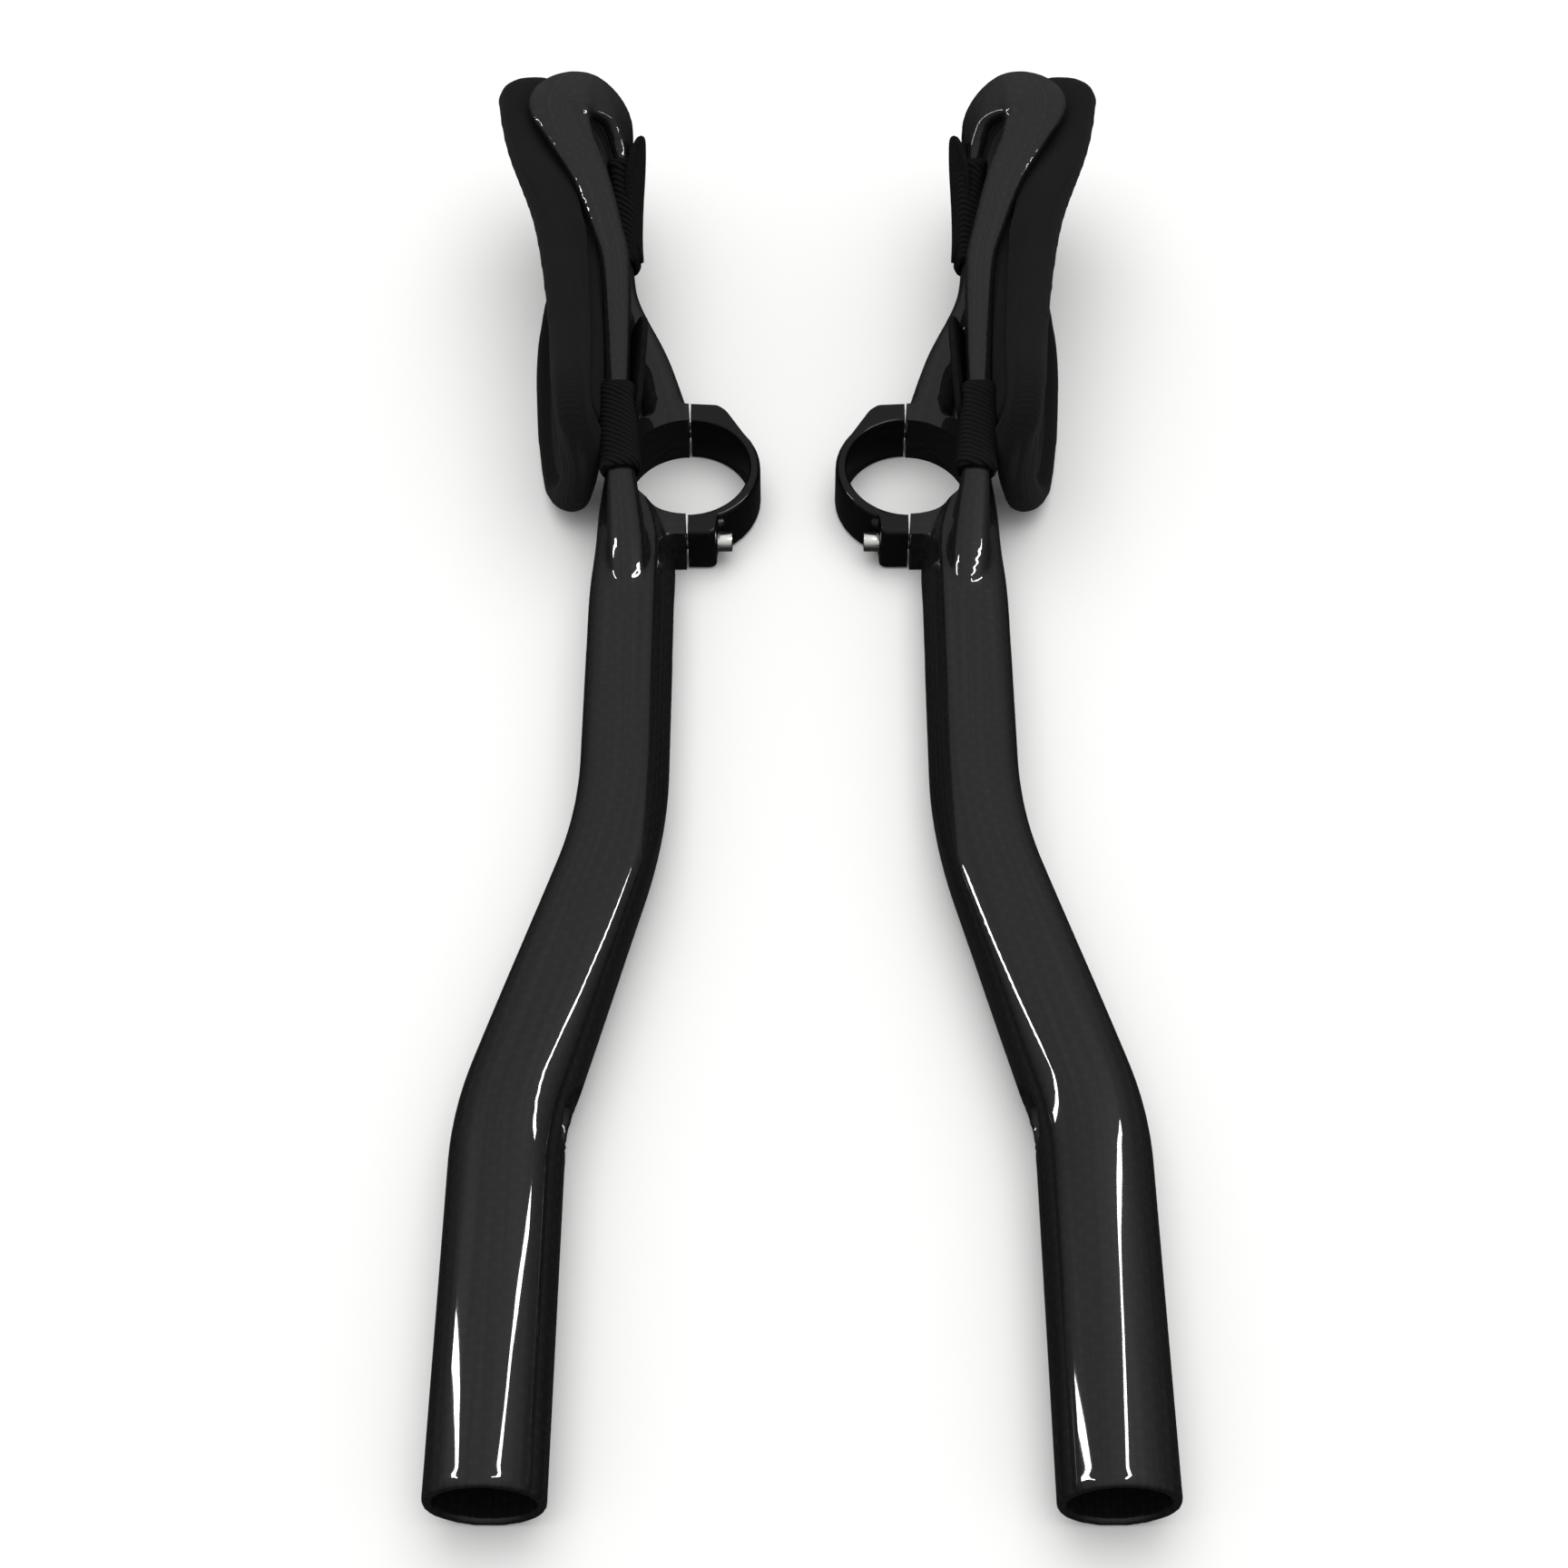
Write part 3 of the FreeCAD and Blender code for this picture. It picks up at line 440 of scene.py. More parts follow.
def lacquered_carbon():
    """Carbon fibre, plain weave in 2 mm tows, under clear lacquer: near black with a grey sheen
    on what faces the light, crisp reflections, and tows that only just show. Each tow is painted
    lighter along its middle and darker towards its edges, a painted sheen and shade on the rounded
    tows. Streaks 1.3 mm wide run along the fibres, and the lacquer flows in waves about 17 mm long."""
    material, tree = finish_tree("lacquered_carbon_fibre")
    where = add(tree, "UVMap", uv_map="weave").outputs["UV"]
    parts = add(tree, "SeparateXYZ", {0: where})
    # Painted sheen and shade: each tow's colour is lighter along its middle and darker towards its
    # edges.
    waves = []
    for axis in ("X", "Y"):
        angle = add(tree, "Math", {0: parts.outputs[axis], 1: np.pi}, operation="MULTIPLY")
        tow_shade_wave = add(tree, "Math", {0: angle.outputs[0]}, operation="SINE")
        waves.append(add(tree, "Math", {0: tow_shade_wave.outputs[0]}, operation="ABSOLUTE").outputs[0])
    weave = add(tree, "TexChecker", {"Vector": where, "Scale": 1.0})
    # tow holds the painted sheen and shade across each tow, which sets how light its colour is.
    tow = add(tree, "Mix", {0: weave.outputs["Fac"], 2: waves[0], 3: waves[1]})
    tone = add(tree, "MixRGB", {
        0: weave.outputs["Fac"], 1: linear("#161617"), 2: linear("#19191b"),
    })
    cloth = add(tree, "MixRGB", {0: tow.outputs[0], 1: linear("#141415"), 2: tone.outputs[0]})
    drawn = add(tree, "Mapping", {"Vector": where, "Scale": (1.6, 0.03, 1.0)})
    streaks = add(tree, "TexNoise", {"Vector": drawn.outputs[0], "Scale": 1.0, "Detail": 2.0})
    shade = add(tree, "MapRange", {0: streaks.outputs["Fac"], 1: 0.3, 2: 0.7, 3: 0.7, 4: 1.3})
    colour = add(
        tree, "VectorMath", {0: cloth.outputs[0], "Scale": shade.outputs[0]}, operation="SCALE",
    )
    body = add(tree, "TexCoord").outputs["Object"]
    flow = add(tree, "TexNoise", {"Vector": body, "Scale": 60.0, "Detail": 1.0})
    peel = add(tree, "Bump", {"Strength": 0.02, "Distance": 0.001, "Height": flow.outputs["Fac"]})
    shader = add(tree, "BsdfPrincipled", {
        "Base Color": colour.outputs[0], "Roughness": 0.4, "IOR": 1.1, "Coat Weight": 0.8,
        "Coat Roughness": 0.03, "Coat IOR": 1.36, "Coat Normal": peel.outputs[0],
    })
    add(tree, "OutputMaterial", {0: shader.outputs[0]})
    return material


def placed(name, mesh, material, node):
    """A finished piece on the root body that stands for the named solid."""
    obj = shown(name, mesh)
    mesh.name = name
    mesh.materials.clear()
    mesh.materials.append(material)
    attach(obj, "root")
    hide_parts(node)
    return obj


def pair(piece, mesh, material, node):
    """A left-hand piece and its mirror image."""
    other = mirrored(mesh)
    return [
        placed("left_" + piece, mesh, material, "left_" + node),
        placed("right_" + piece, other, material, "right_" + node),
    ]


pair("carbon_bar", bar_mesh, lacquered_carbon(), "extension_bar")

# Clamp caps: forged aluminium half bands, anodised gloss black, that close the clamp round the
# handlebar. A flat runs from the rear lug to the band; the front lug has a seat for its screw.
CAP_OUTER, CAP_ROUND, CAP_BREAK = BORE_RADIUS + 2.9, 1.5, 0.5


def cap_surface():
    """Rounded sections between the bore's arc and an outer outline, from one split to the other."""
    start = np.arcsin(SPLIT / BORE_RADIUS)
    share = np.linspace(0, 1, 121)
    turn = -np.pi / 2 + start + share * (np.pi - 2 * start)
    inner = BORE_RADIUS * np.stack([np.cos(turn), np.sin(turn)], axis=1)
    corners = np.array([
        (SPLIT, -22.2), (6.4, -22.2), (7.5, -21.4), (7.6, -16.8), (9.4, -16.2),
        *[(CAP_OUTER * np.cos(a), CAP_OUTER * np.sin(a)) for a in np.radians(np.arange(-50, 41, 10))],
        (9.6, 20.2), (7.4, 22.0), (SPLIT, 22.4),
    ])
    lengths = np.concatenate([[0], np.cumsum(np.linalg.norm(np.diff(corners, axis=0), axis=1))])
    fine = np.linspace(0, lengths[-1], 481)
    outer = np.stack([np.interp(fine, lengths, corners[:, k]) for k in range(2)], axis=1)
    window = 21
    weights = np.hanning(window) / np.hanning(window).sum()
    ends = ((window // 2, window // 2), (0, 0))
    padded = np.pad(outer, ends, mode="reflect", reflect_type="odd")
    outer = np.stack([np.convolve(padded[:, k], weights, mode="valid") for k in range(2)], axis=1)
    outer = outer[::4]
    depth = np.linalg.norm(outer - inner, axis=1)
    bend = np.radians(np.linspace(0, 90, 7))
    inset = CAP_ROUND * (1 - np.sin(bend))
    drop = CAP_ROUND * (1 - np.cos(bend))
    offset = -np.concatenate([inset, inset[::-1]])
    level = np.concatenate([drop, CLAMP_WIDTH - drop[::-1]])
    ring_along = np.array([CAP_BREAK, 0.0, 0.0, CAP_BREAK])
    ring_level = np.array([CLAMP_WIDTH, CLAMP_WIDTH - CAP_BREAK, CAP_BREAK, 0.0])
    outward = (outer - inner) / depth[:, None]
    spots = np.concatenate([
        inner[:, None] + outward[:, None] * ring_along[None, :, None],
        outer[:, None] + outward[:, None] * offset[None, :, None],
    ], axis=1)
    levels = np.concatenate([ring_level, level])
    return skin(laid(-spots[..., 0], spots[..., 1], levels[None, :] + 0 * spots[..., 0]))


def gloss_black_anodised():
    """Anodised aluminium dyed black and sealed: a smooth, slightly soft gloss with faint marks of
    about 1.1 mm, drawn coarser than they are."""
    material, tree = finish_tree("black_anodised_aluminium")
    body = add(tree, "TexCoord").outputs["Object"]
    grain = add(tree, "TexNoise", {"Vector": body, "Scale": 900.0, "Detail": 2.0})
    colour = add(tree, "MixRGB", {
        0: grain.outputs["Fac"], 1: linear("#08080a"), 2: linear("#101012"),
    })
    rough = add(tree, "MapRange", {0: grain.outputs["Fac"], 3: 0.12, 4: 0.2})
    shader = add(tree, "BsdfPrincipled", {
        "Base Color": colour.outputs[0], "Roughness": rough.outputs[0], "IOR": 1.27,
    })
    add(tree, "OutputMaterial", {0: shader.outputs[0]})
    return material


cap_mesh = mesh_of("left_cap", *cap_surface())
cap_mesh.set_sharp_from_angle(angle=np.radians(50))
pair("cap_band", cap_mesh, gloss_black_anodised(), "clamp_cap")

# Clamp screws: stainless socket heads, turned and polished, two to each clamp. They run into brass
# inserts that are bonded into the carbon.
EDGE_ROUND = 0.3


def turned_steel():
    """Polished stainless steel: bright metal with turning marks of about 0.7 mm, drawn coarser than
    they are."""
    material, tree = finish_tree("polished_stainless_steel")
    body = add(tree, "TexCoord").outputs["Object"]
    marks = add(tree, "TexNoise", {"Vector": body, "Scale": 1500.0, "Detail": 2.0})
    rough = add(tree, "MapRange", {0: marks.outputs["Fac"], 3: 0.12, 4: 0.26})
    shader = add(tree, "BsdfPrincipled", {
        "Base Color": linear("#d8d6d2"), "Metallic": 1.0, "Roughness": rough.outputs[0],
    })
    add(tree, "OutputMaterial", {0: shader.outputs[0]})
    return material


def brass():
    """Machined brass: warm yellow metal, a little dull, with a grain of about 0.8 mm."""
    material, tree = finish_tree("machined_brass")
    body = add(tree, "TexCoord").outputs["Object"]
    grain = add(tree, "TexNoise", {"Vector": body, "Scale": 1200.0, "Detail": 2.0})
    colour = add(tree, "MixRGB", {
        0: grain.outputs["Fac"], 1: linear("#a8843c"), 2: linear("#c29d52"),
    })
    shader = add(tree, "BsdfPrincipled", {
        "Base Color": colour.outputs[0], "Metallic": 1.0, "Roughness": 0.35,
    })
    add(tree, "OutputMaterial", {0: shader.outputs[0]})
    return material


def rounded_copy(node):
    """A copy of a solid's mesh with its doubles merged and its sharp edges rounded."""
    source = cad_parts[node].data.copy()
    whole = bmesh.new()
    whole.from_mesh(source)
    bmesh.ops.remove_doubles(whole, verts=whole.verts, dist=2e-6)
    bmesh.ops.dissolve_limit(whole, angle_limit=0.01, verts=whole.verts, edges=whole.edges)
    whole.to_mesh(source)
    whole.free()
    made = modified(
        source, "BEVEL", width=EDGE_ROUND * 0.001, segments=3,
        limit_method="ANGLE", angle_limit=np.radians(50),
    )
    made.shade_smooth()
    made.set_sharp_from_angle(angle=np.radians(40))
    return made


steel, gilt = turned_steel(), brass()
for side in ("left", "right"):
    for end in ("front", "rear"):
        node = "%s_%s_clamp_bolt" % (side, end)
        placed("%s_%s_screw" % (side, end), rounded_copy(node), steel, node)
        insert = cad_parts["%s_%s_thread_insert" % (side, end)]
        insert.data.materials.clear()
        insert.data.materials.append(gilt)

# Arm pads: foam troughs covered in matt black knit, with a thick rolled rim round a flatter panel
# on the arm's side and a sewn line on the back. Straps hold them to the loop.
PAD_FRONT, PAD_LENGTH, PAD_WIDTH, PAD_LIFT = 12.0, 126.0, 52.8, 0.7
PAD_CORNER, PAD_HALF, PAD_GRID, TROUGH = 15.0, 4.5, 0.0013, 2.2
# The cover swells by SWELL, and by CREEP more in places, under this pressure in this many frames.
SWELL, CREEP, PRESSURE, FRAMES = 0.5, 0.3, 4, 20
# Arm side: drop of the panel, depth of the line round it and height of the rolled rim.
PANEL_DROP, PANEL_LINE, PANEL_ROLL = 1.7, 1.2, 0.35
# Back: depth of the seam, height of the roll beside it, hollow behind the beam and bulge on to it.
SEAM_DEPTH, SEAM_ROLL, BACK_HOLLOW, BACK_BULGE = 1.3, 0.4, 1.4, 1.9
# Pad sections, evenly spaced: rise and height of the low lip, the trough and the high lip.
PAD = np.array([
    (33.4, 5.2, 27.4, 26.0, 28.6, 49.0),
    (36.8, 5.2, 27.4, 26.0, 30.0, 49.0),
    (38.0, 5.2, 27.2, 26.0, 35.2, 49.0),
    (35.0, 5.2, 27.2, 25.0, 44.6, 48.6),
    (35.0, 5.2, 27.4, 25.0, 49.8, 49.0),
])


def pad_middle(along, height):
    """Rise of the pad's middle surface and its slope: a power of the way from trough to lip."""
    spots = np.ravel(along) / PAD_LENGTH * (len(PAD) - 1)
    rows = curve_through(PAD, spots).reshape(*np.shape(along), PAD.shape[1])
    low_rise, low_height, mid_rise, mid_height, high_rise, high_height = np.moveaxis(rows, -1, 0)
    upper = height > mid_height
    lip = np.where(upper, high_rise, low_rise) - mid_rise
    span = np.where(upper, high_height, low_height) - mid_height
    part = np.clip((height - mid_height) / span, 0, None)
    return mid_rise + lip * part**TROUGH, lip * TROUGH * part ** (TROUGH - 1) / span


def pad_surface():
    """Closed sections along the pad: up the back, over the lip, down the arm side, under the lip."""
    edge = PAD_HALF * (1 - np.cos(np.linspace(0, np.pi / 2, 7)))
    along = np.concatenate([edge, np.linspace(6, PAD_LENGTH - 6, 58), PAD_LENGTH - edge[::-1]])
    inset = np.minimum(along, PAD_LENGTH - along)
    half = (PAD_HALF - SWELL) * np.sqrt(1 - np.clip(1 - inset / PAD_HALF, 0, 1) ** 2)
    corner = np.clip(1 - inset / PAD_CORNER, 0, 1)
    shrink = PAD_CORNER * (1 - np.sqrt(1 - corner**2))
    bottom, top = PAD_LIFT + PAD_HALF + shrink, PAD_LIFT + PAD_WIDTH - PAD_HALF - shrink
    share = np.linspace(0, 1, 30)
    lip = np.linspace(0, np.pi, 9)[1:-1]
    ones = np.ones(len(share))
    share_round = np.concatenate([share, 0 * lip + 1, share[::-1], 0 * lip])
    side = np.concatenate([-ones, -np.cos(lip), ones, np.cos(lip)])
    lift = np.concatenate([0 * ones, np.sin(lip), 0 * ones, -np.sin(lip)])
    height = bottom[:, None] + (top - bottom)[:, None] * share_round
    rise, grade = pad_middle(np.broadcast_to(along[:, None], height.shape), height)
    norm = np.hypot(1, grade)
    out = half[:, None]
    rise_at = rise + out * (side + lift * grade) / norm
    height_at = height + out * (lift - side * grade) / norm
    return skin(laid(rise_at, along[:, None] - PAD_FRONT, height_at))


def inflated(mesh, cap):
    """The shell blown up by cloth under pressure, no point moving further than cap."""
    rest = spots_of(mesh)
    obj = shown("inflating", mesh)
    cloth = obj.modifiers.new("cover", "CLOTH")
    cloth.settings.use_pressure = True
    cloth.settings.uniform_pressure_force = PRESSURE
    cloth.settings.effector_weights.gravity = 0
    for number in range(1, FRAMES + 1):
        bpy.context.scene.frame_set(number)
    ready = obj.evaluated_get(bpy.context.evaluated_depsgraph_get())
    made = bpy.data.meshes.new_from_object(ready)
    bpy.data.objects.remove(obj)
    bpy.context.scene.frame_set(1)
    move = spots_of(made) - rest
    far = np.linalg.norm(move, axis=1, keepdims=True)
    set_spots(made, rest + move * np.minimum(1, cap / np.maximum(far, 1e-9)))
    return made


def bell(value, middle, width):
    """A bell of height 1: e to the minus square of (value - middle) / width."""
    return np.exp(-(((value - middle) / width) ** 2))


def sewn(mesh):
    """Move the points along their normals, by how far in from the pad's rounded outline they lie: on
    the arm's side a roll, a line and a sunk panel, on the back a roll and a seam, a hollow behind
    the loop's wing and a bulge that bears on its beam."""
    points, normals = spots_of(mesh), spots_of(mesh, "normal")
    rise, along = -points[:, 0] - CLAMP_OFFSET, points[:, 1] - CLAMP_BACK + PAD_FRONT
    half = np.array([PAD_LENGTH / 2, PAD_WIDTH / 2])
    plan = np.stack([along - half[0], points[:, 2] - PAD_LIFT - half[1]], axis=1)
    corner = np.abs(plan) - (half - PAD_CORNER)
    outward = np.linalg.norm(np.maximum(corner, 0), axis=1) + np.minimum(corner.max(axis=1), 0)
    inside = PAD_CORNER - outward
    middle, _ = pad_middle(along, points[:, 2])
    arm = eased(rise - middle, 0.5, 2.5)
    back = eased(middle - rise, 0.5, 2.5)
    panel = -PANEL_DROP * eased(inside, 6.0, 8.4) - PANEL_LINE * bell(inside, 8.2, 1.1)
    panel += PANEL_ROLL * bell(inside, 5.2, 1.6)
    seam = SEAM_ROLL * bell(inside, 6.6, 1.6) - SEAM_DEPTH * bell(inside, 9.2, 1.0)
    beam = np.interp(along - PAD_FRONT, LOOP[3:9, 0], LOOP[3:9, 2])
    front = eased(-along, -94, -74)
    seam += BACK_BULGE * front * bell(points[:, 2], beam, 7.0)
    seam -= BACK_HOLLOW * (1 - front) * eased(inside, 8.0, 11.0)
    set_spots(mesh, points + normals * (arm * panel + back * seam)[:, None])
    ribbing = mesh.attributes.new("ribbing", "FLOAT", "POINT")
    ribbing.data.foreach_set("value", (1 - arm * eased(inside, 3.0, 7.0)).astype(np.float32))


def knit_cover():
    """Matt black polyester knit over foam: a soft nap of about 1.4 mm with no gloss, dyed unevenly
    over some 22 mm, and ribs 0.9 and 1.8 mm apart where the cover is stretched round the rim and the
    back. Nap and ribs are drawn a little coarser than they are."""
    material, tree = finish_tree("black_knit_cover")
    body = add(tree, "TexCoord").outputs["Object"]
    parts = add(tree, "SeparateXYZ", {0: body})
    waves = []
    for axis, pitch in (("Z", 0.0018), ("Y", 0.0009)):
        turns = {0: parts.outputs[axis], 1: 2 * np.pi / pitch}
        angle = add(tree, "Math", turns, operation="MULTIPLY")
        waves.append(add(tree, "Math", {0: angle.outputs[0]}, operation="SINE").outputs[0])
    stretched = add(tree, "Attribute", attribute_name="ribbing").outputs["Fac"]
    ribs = add(tree, "Math", {0: waves[0], 1: 0.3, 2: waves[1]}, operation="MULTIPLY_ADD")
    ribs = add(tree, "Math", {0: ribs.outputs[0], 1: stretched}, operation="MULTIPLY")
    nap = add(tree, "TexNoise", {"Vector": body, "Scale": 700.0, "Detail": 3.0})
    lot = add(tree, "TexNoise", {"Vector": body, "Scale": 45.0, "Detail": 2.0})
    raised = {0: nap.outputs["Fac"], 1: 1.2, 2: ribs.outputs[0]}
    height = add(tree, "Math", raised, operation="MULTIPLY_ADD")
    bump = add(tree, "Bump", {"Strength": 0.25, "Distance": 0.0003, "Height": height.outputs[0]})
    colour = add(tree, "MixRGB", {
        0: lot.outputs["Fac"], 1: linear("#161617"), 2: linear("#1b1b1c"),
    })
    shader = add(tree, "BsdfPrincipled", {
        "Base Color": colour.outputs[0], "Roughness": 0.95, "IOR": 1.12, "Sheen Weight": 0.02,
        "Sheen Roughness": 0.5, "Normal": bump.outputs[0],
    })
    add(tree, "OutputMaterial", {0: shader.outputs[0]})
    return material


pad_mesh = mesh_of("pad_start", *pad_surface())
pad_mesh = modified(pad_mesh, "REMESH", mode="VOXEL", voxel_size=PAD_GRID)
pad_mesh = inflated(pad_mesh, SWELL + CREEP)
ironed(pad_mesh, 30)
pad_mesh = modified(pad_mesh, "SUBSURF", levels=1, render_levels=1)
ironed(pad_mesh, 12)
sewn(pad_mesh)
pad_mesh.shade_smooth()
for pad in pair("pad_cover", pad_mesh, knit_cover(), "arm_pad"):
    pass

# Straps: black elastic woven in a twill, sewn to the pad's back, passed round the loop and closed
# into a sleeve. Both ends are turned in and hemmed. One holds the beam, the other the rear arch.
STRAP_PLAY, STRAP_THICK, HEM, PUFF = 0.3, 1.3, 0.3, 0.25


def strap_surface(first, last):
    """A sleeve round the loop: inside from first to last station, then back outside, hems raised."""
    run = np.linspace(0, 1, 41)
    end = np.minimum(run, 1 - run)
    rounded = STRAP_THICK * np.minimum(1, 12 * end + 0.6)
    outside = STRAP_PLAY + rounded + HEM * bell(end, 0.06, 0.035) + PUFF * np.sin(np.pi * run)
    spots = np.concatenate([first + (last - first) * run, last + (first - last) * run])
    grow = np.concatenate([np.full(len(run), STRAP_PLAY), outside[::-1]])
    return skin(loop_rings(spots, grow, 72), capped=False)


def elastic_twill():
    """Black woven elastic: diagonal ribs 1.3 mm apart on a matt polyester yarn with a fuzz of about
    0.7 mm. The grooves between the ribs are painted darker than their crests, a painted shade. The
    ribs are drawn a little coarser than they are."""
    material, tree = finish_tree("black_elastic_twill")
    body = add(tree, "TexCoord").outputs["Object"]
    parts = add(tree, "SeparateXYZ", {0: body})
    across = {0: parts.outputs["X"], 1: 0.45, 2: parts.outputs["Y"]}
    slant = add(tree, "Math", across, operation="MULTIPLY_ADD")
    angle = add(tree, "Math", {0: slant.outputs[0], 1: 2 * np.pi / 0.0013}, operation="MULTIPLY")
    twill = add(tree, "Math", {0: angle.outputs[0]}, operation="SINE")
    fuzz = add(tree, "TexNoise", {"Vector": body, "Scale": 1400.0, "Detail": 2.0})
    raised = {0: fuzz.outputs["Fac"], 1: 0.8, 2: twill.outputs[0]}
    height = add(tree, "Math", raised, operation="MULTIPLY_ADD")
    bump = add(tree, "Bump", {"Strength": 0.6, "Distance": 0.0004, "Height": height.outputs[0]})
    # Painted shade: the grooves between the ribs are coloured darker than their crests.
    tone = add(tree, "MapRange", {0: twill.outputs[0], 1: -1.0, 2: 1.0})
    colour = add(tree, "MixRGB", {0: tone.outputs[0], 1: linear("#080809"), 2: linear("#141415")})
    shader = add(tree, "BsdfPrincipled", {
        "Base Color": colour.outputs[0], "Roughness": 0.85, "IOR": 1.18, "Normal": bump.outputs[0],
    })
    add(tree, "OutputMaterial", {0: shader.outputs[0]})
    return material


twill_cloth = elastic_twill()
for end, first, last in (("front", 2.0, 4.0), ("rear", 11.85, 13.5)):
    sleeve = mesh_of(end, *strap_surface(first, last))
    pair(end + "_sleeve", sleeve, twill_cloth, end + "_strap")

# Hook tabs: the loose ends of the straps, tongues of black hook-and-loop tape cut with round corners.
# They stick to the strap by their nap, and stand away from the loop with a twist and a slight curl.
TAB_THICK, TAB_LENGTH, TAB_HEIGHT, TAB_BOX, TAB_CURL = 1.6, 34.0, 16.0, 2.8, 0.8
# Edge of a tab in section: share of the thickness and share of the half plan.
TAB_EDGE = np.array([
    (0.0, 0.0), (0.0, 0.93), (0.1, 0.985), (0.5, 1.0), (0.9, 0.985), (1.0, 0.93), (1.0, 0.0),
])


def tab_surface(rise, reach, height, flare, slope, leans, narrow):
    """A thin tongue: a boxy oval in plan with a soft edge, narrowed to its front end, turned about
    its first corner, and twisted so that it leans by one angle in front, midway and behind."""
    x, y = superellipse(TAB_BOX, 96)
    level, plan = TAB_EDGE[:, :1], TAB_EDGE[:, 1:]
    length = TAB_LENGTH / 2 * (1 + plan * x)
    share = length / TAB_LENGTH
    tall = TAB_HEIGHT / 2 * (1 + plan * y * (1 - narrow * (1 - share)))
    thick = TAB_THICK * level + TAB_CURL * (share**2 - 0.35)
    front, middle, behind = np.radians(leans)
    steady, growing = 4 * middle - 3 * front - behind, 2 * (front + behind - 2 * middle)
    lean = front + steady * share + growing * share**2
    turn, tilt = np.radians(flare), np.radians(slope)
    leaning = thick * np.cos(lean) + tall * np.sin(lean)
    thick, tall = leaning, tall * np.cos(lean) - thick * np.sin(lean)
    spread = length * np.cos(turn) - thick * np.sin(turn)
    out = -thick * np.cos(turn) - length * np.sin(turn)
    back = spread * np.cos(tilt) - tall * np.sin(tilt)
    up = spread * np.sin(tilt) + tall * np.cos(tilt)
    return skin(laid(rise + out, reach + back, height + up))


def hook_tape():
    """Nylon hook-and-loop tape: a dense dull nap of tiny loops about 0.6 mm apart, in tufts of 2 mm."""
    material, tree = finish_tree("black_hook_and_loop_tape")
    body = add(tree, "TexCoord").outputs["Object"]
    loops = add(tree, "TexVoronoi", {"Vector": body, "Scale": 1600.0})
    nap = add(tree, "TexNoise", {"Vector": body, "Scale": 500.0, "Detail": 3.0})
    raised = {0: loops.outputs["Distance"], 1: nap.outputs["Fac"]}
    height = add(tree, "Math", raised, operation="ADD")
    bump = add(tree, "Bump", {"Strength": 0.5, "Distance": 0.0004, "Height": height.outputs[0]})
    colour = add(tree, "MixRGB", {
        0: nap.outputs["Fac"], 1: linear("#08080a"), 2: linear("#171718"),
    })
    shader = add(tree, "BsdfPrincipled", {
        "Base Color": colour.outputs[0], "Roughness": 0.95, "IOR": 1.15, "Normal": bump.outputs[0],
    })
    add(tree, "OutputMaterial", {0: shader.outputs[0]})
    return material


# Each tab: rise, reach and height of its corner, then flare, slope, its three leans and narrowing.
tape = hook_tape()
for end, spot, turns in (
    ("front", (14.8, 0.0, 25.0), (-5.0, 0.0, (12.0, 18.0, 24.0), 0.25)),
    ("rear", (14.0, 67.0, 19.0), (0.0, 34.0, (0.0, -16.0, -4.0), 0.45)),
):
    tongue = mesh_of(end, *tab_surface(*spot, *turns))
    pair(end + "_tongue", tongue, tape, end + "_hook_tab")

# Studio: a plain pale table, even soft light from above, and two narrow lamps whose reflections
# run down the lacquer. The camera stands where the photograph was taken.
TABLE = 2e4
# Light of the sky at the horizon and overhead, and the share of it left well below the horizon.
HORIZON, ZENITH, BELOW = 0.16, 1.05, 0.15


def pale_table():
    """Matt white laminate, even and faintly mottled over a third of a metre."""
    material, tree = finish_tree("white_laminate")
    body = add(tree, "TexCoord").outputs["Object"]
    mottle = add(tree, "TexNoise", {"Vector": body, "Scale": 3.0})
    colour = add(tree, "MixRGB", {
        0: mottle.outputs["Fac"], 1: linear("#fafaf9"), 2: linear("#fdfdfc"),
    })
    shader = add(tree, "BsdfPrincipled", {
        "Base Color": colour.outputs[0], "Roughness": 0.9, "IOR": 1.2,
    })
    add(tree, "OutputMaterial", {0: shader.outputs[0]})
    return material


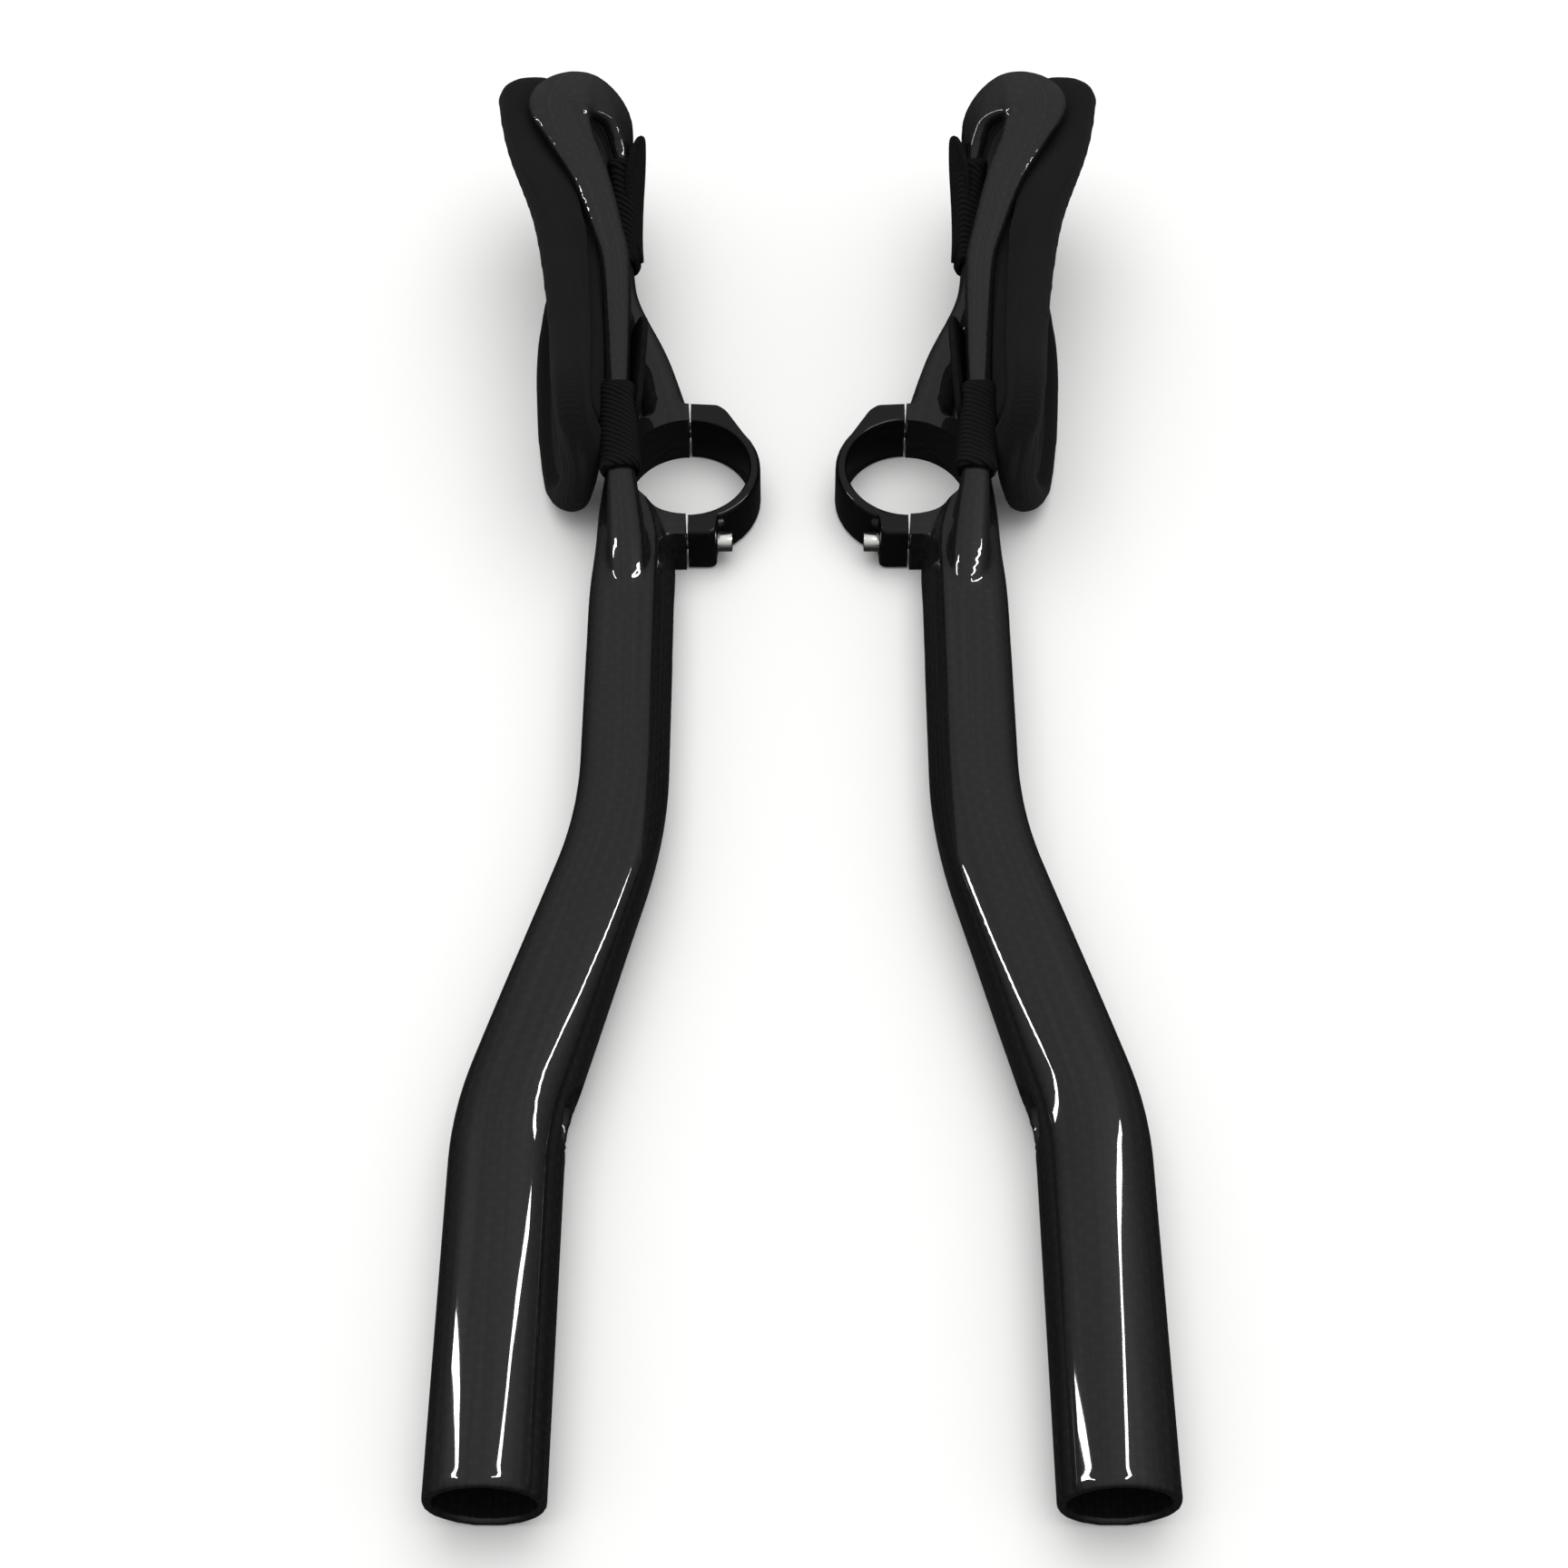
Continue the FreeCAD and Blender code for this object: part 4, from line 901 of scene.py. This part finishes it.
corners = TABLE * np.array([(-1, -1, 0), (1, -1, 0), (1, 1, 0), (-1, 1, 0)])
floor = shown("table", mesh_of("table", corners, [(0, 1, 2, 3)]))
floor.data.materials.append(pale_table())
floor.visible_glossy = False

world = bpy.data.worlds.new("studio")
bpy.context.scene.world = world
world.use_nodes = True
sky = world.node_tree
sky.nodes.clear()
facing = add(sky, "SeparateXYZ", {0: add(sky, "TexCoord").outputs["Generated"]})
dome = add(sky, "MapRange", {0: facing.outputs["Z"], 3: HORIZON, 4: ZENITH})
below = add(sky, "MapRange", {0: facing.outputs["Z"], 1: -0.5, 2: 0.0, 3: BELOW, 4: 1.0})
level = add(sky, "Math", {0: dome.outputs[0], 1: below.outputs[0]}, operation="MULTIPLY")
glow = add(sky, "Background", {"Color": (1.0, 1.0, 1.0, 1.0), "Strength": level.outputs[0]})
add(sky, "OutputWorld", {0: glow.outputs[0]})


def lamp(name, spot, aim, sides, power):
    """A rectangular lamp at a spot, turned to its aim."""
    light = bpy.data.lights.new(name, "AREA")
    light.shape = "RECTANGLE"
    light.size, light.size_y = sides
    light.energy = power
    obj = bpy.data.objects.new(name, light)
    obj.location = spot
    obj.rotation_euler = (Vector(aim) - Vector(spot)).to_track_quat("-Z", "Y").to_euler()
    bpy.context.scene.collection.objects.link(obj)
    return obj


overhead = lamp("overhead", (0.0, 0.3, 1.5), (0.0, 0.0, 0.0), (1.6, 1.6), 11.0)
overhead.visible_glossy = False
for side, spot, sides, power in (
    ("right", (0.27, 0.04, 0.42), (0.02, 0.42), 2.2),
    ("left", (-1.1, 0.27, 0.6), (0.04, 0.68), 7.0),
):
    strip = lamp(side + "_strip", spot, (0.0, -0.1, 0.0), sides, power)
    strip.visible_diffuse = False

camera = bpy.data.objects.new("camera", bpy.data.cameras.new("camera"))
camera.data.lens = 59.8
camera.location = (-0.00362, -0.36545, 0.5297)
camera.rotation_euler = (np.radians(33.9), 0.0, 0.0)
bpy.context.scene.collection.objects.link(camera)
bpy.context.scene.camera = camera
bpy.context.scene.view_settings.view_transform = "Standard"
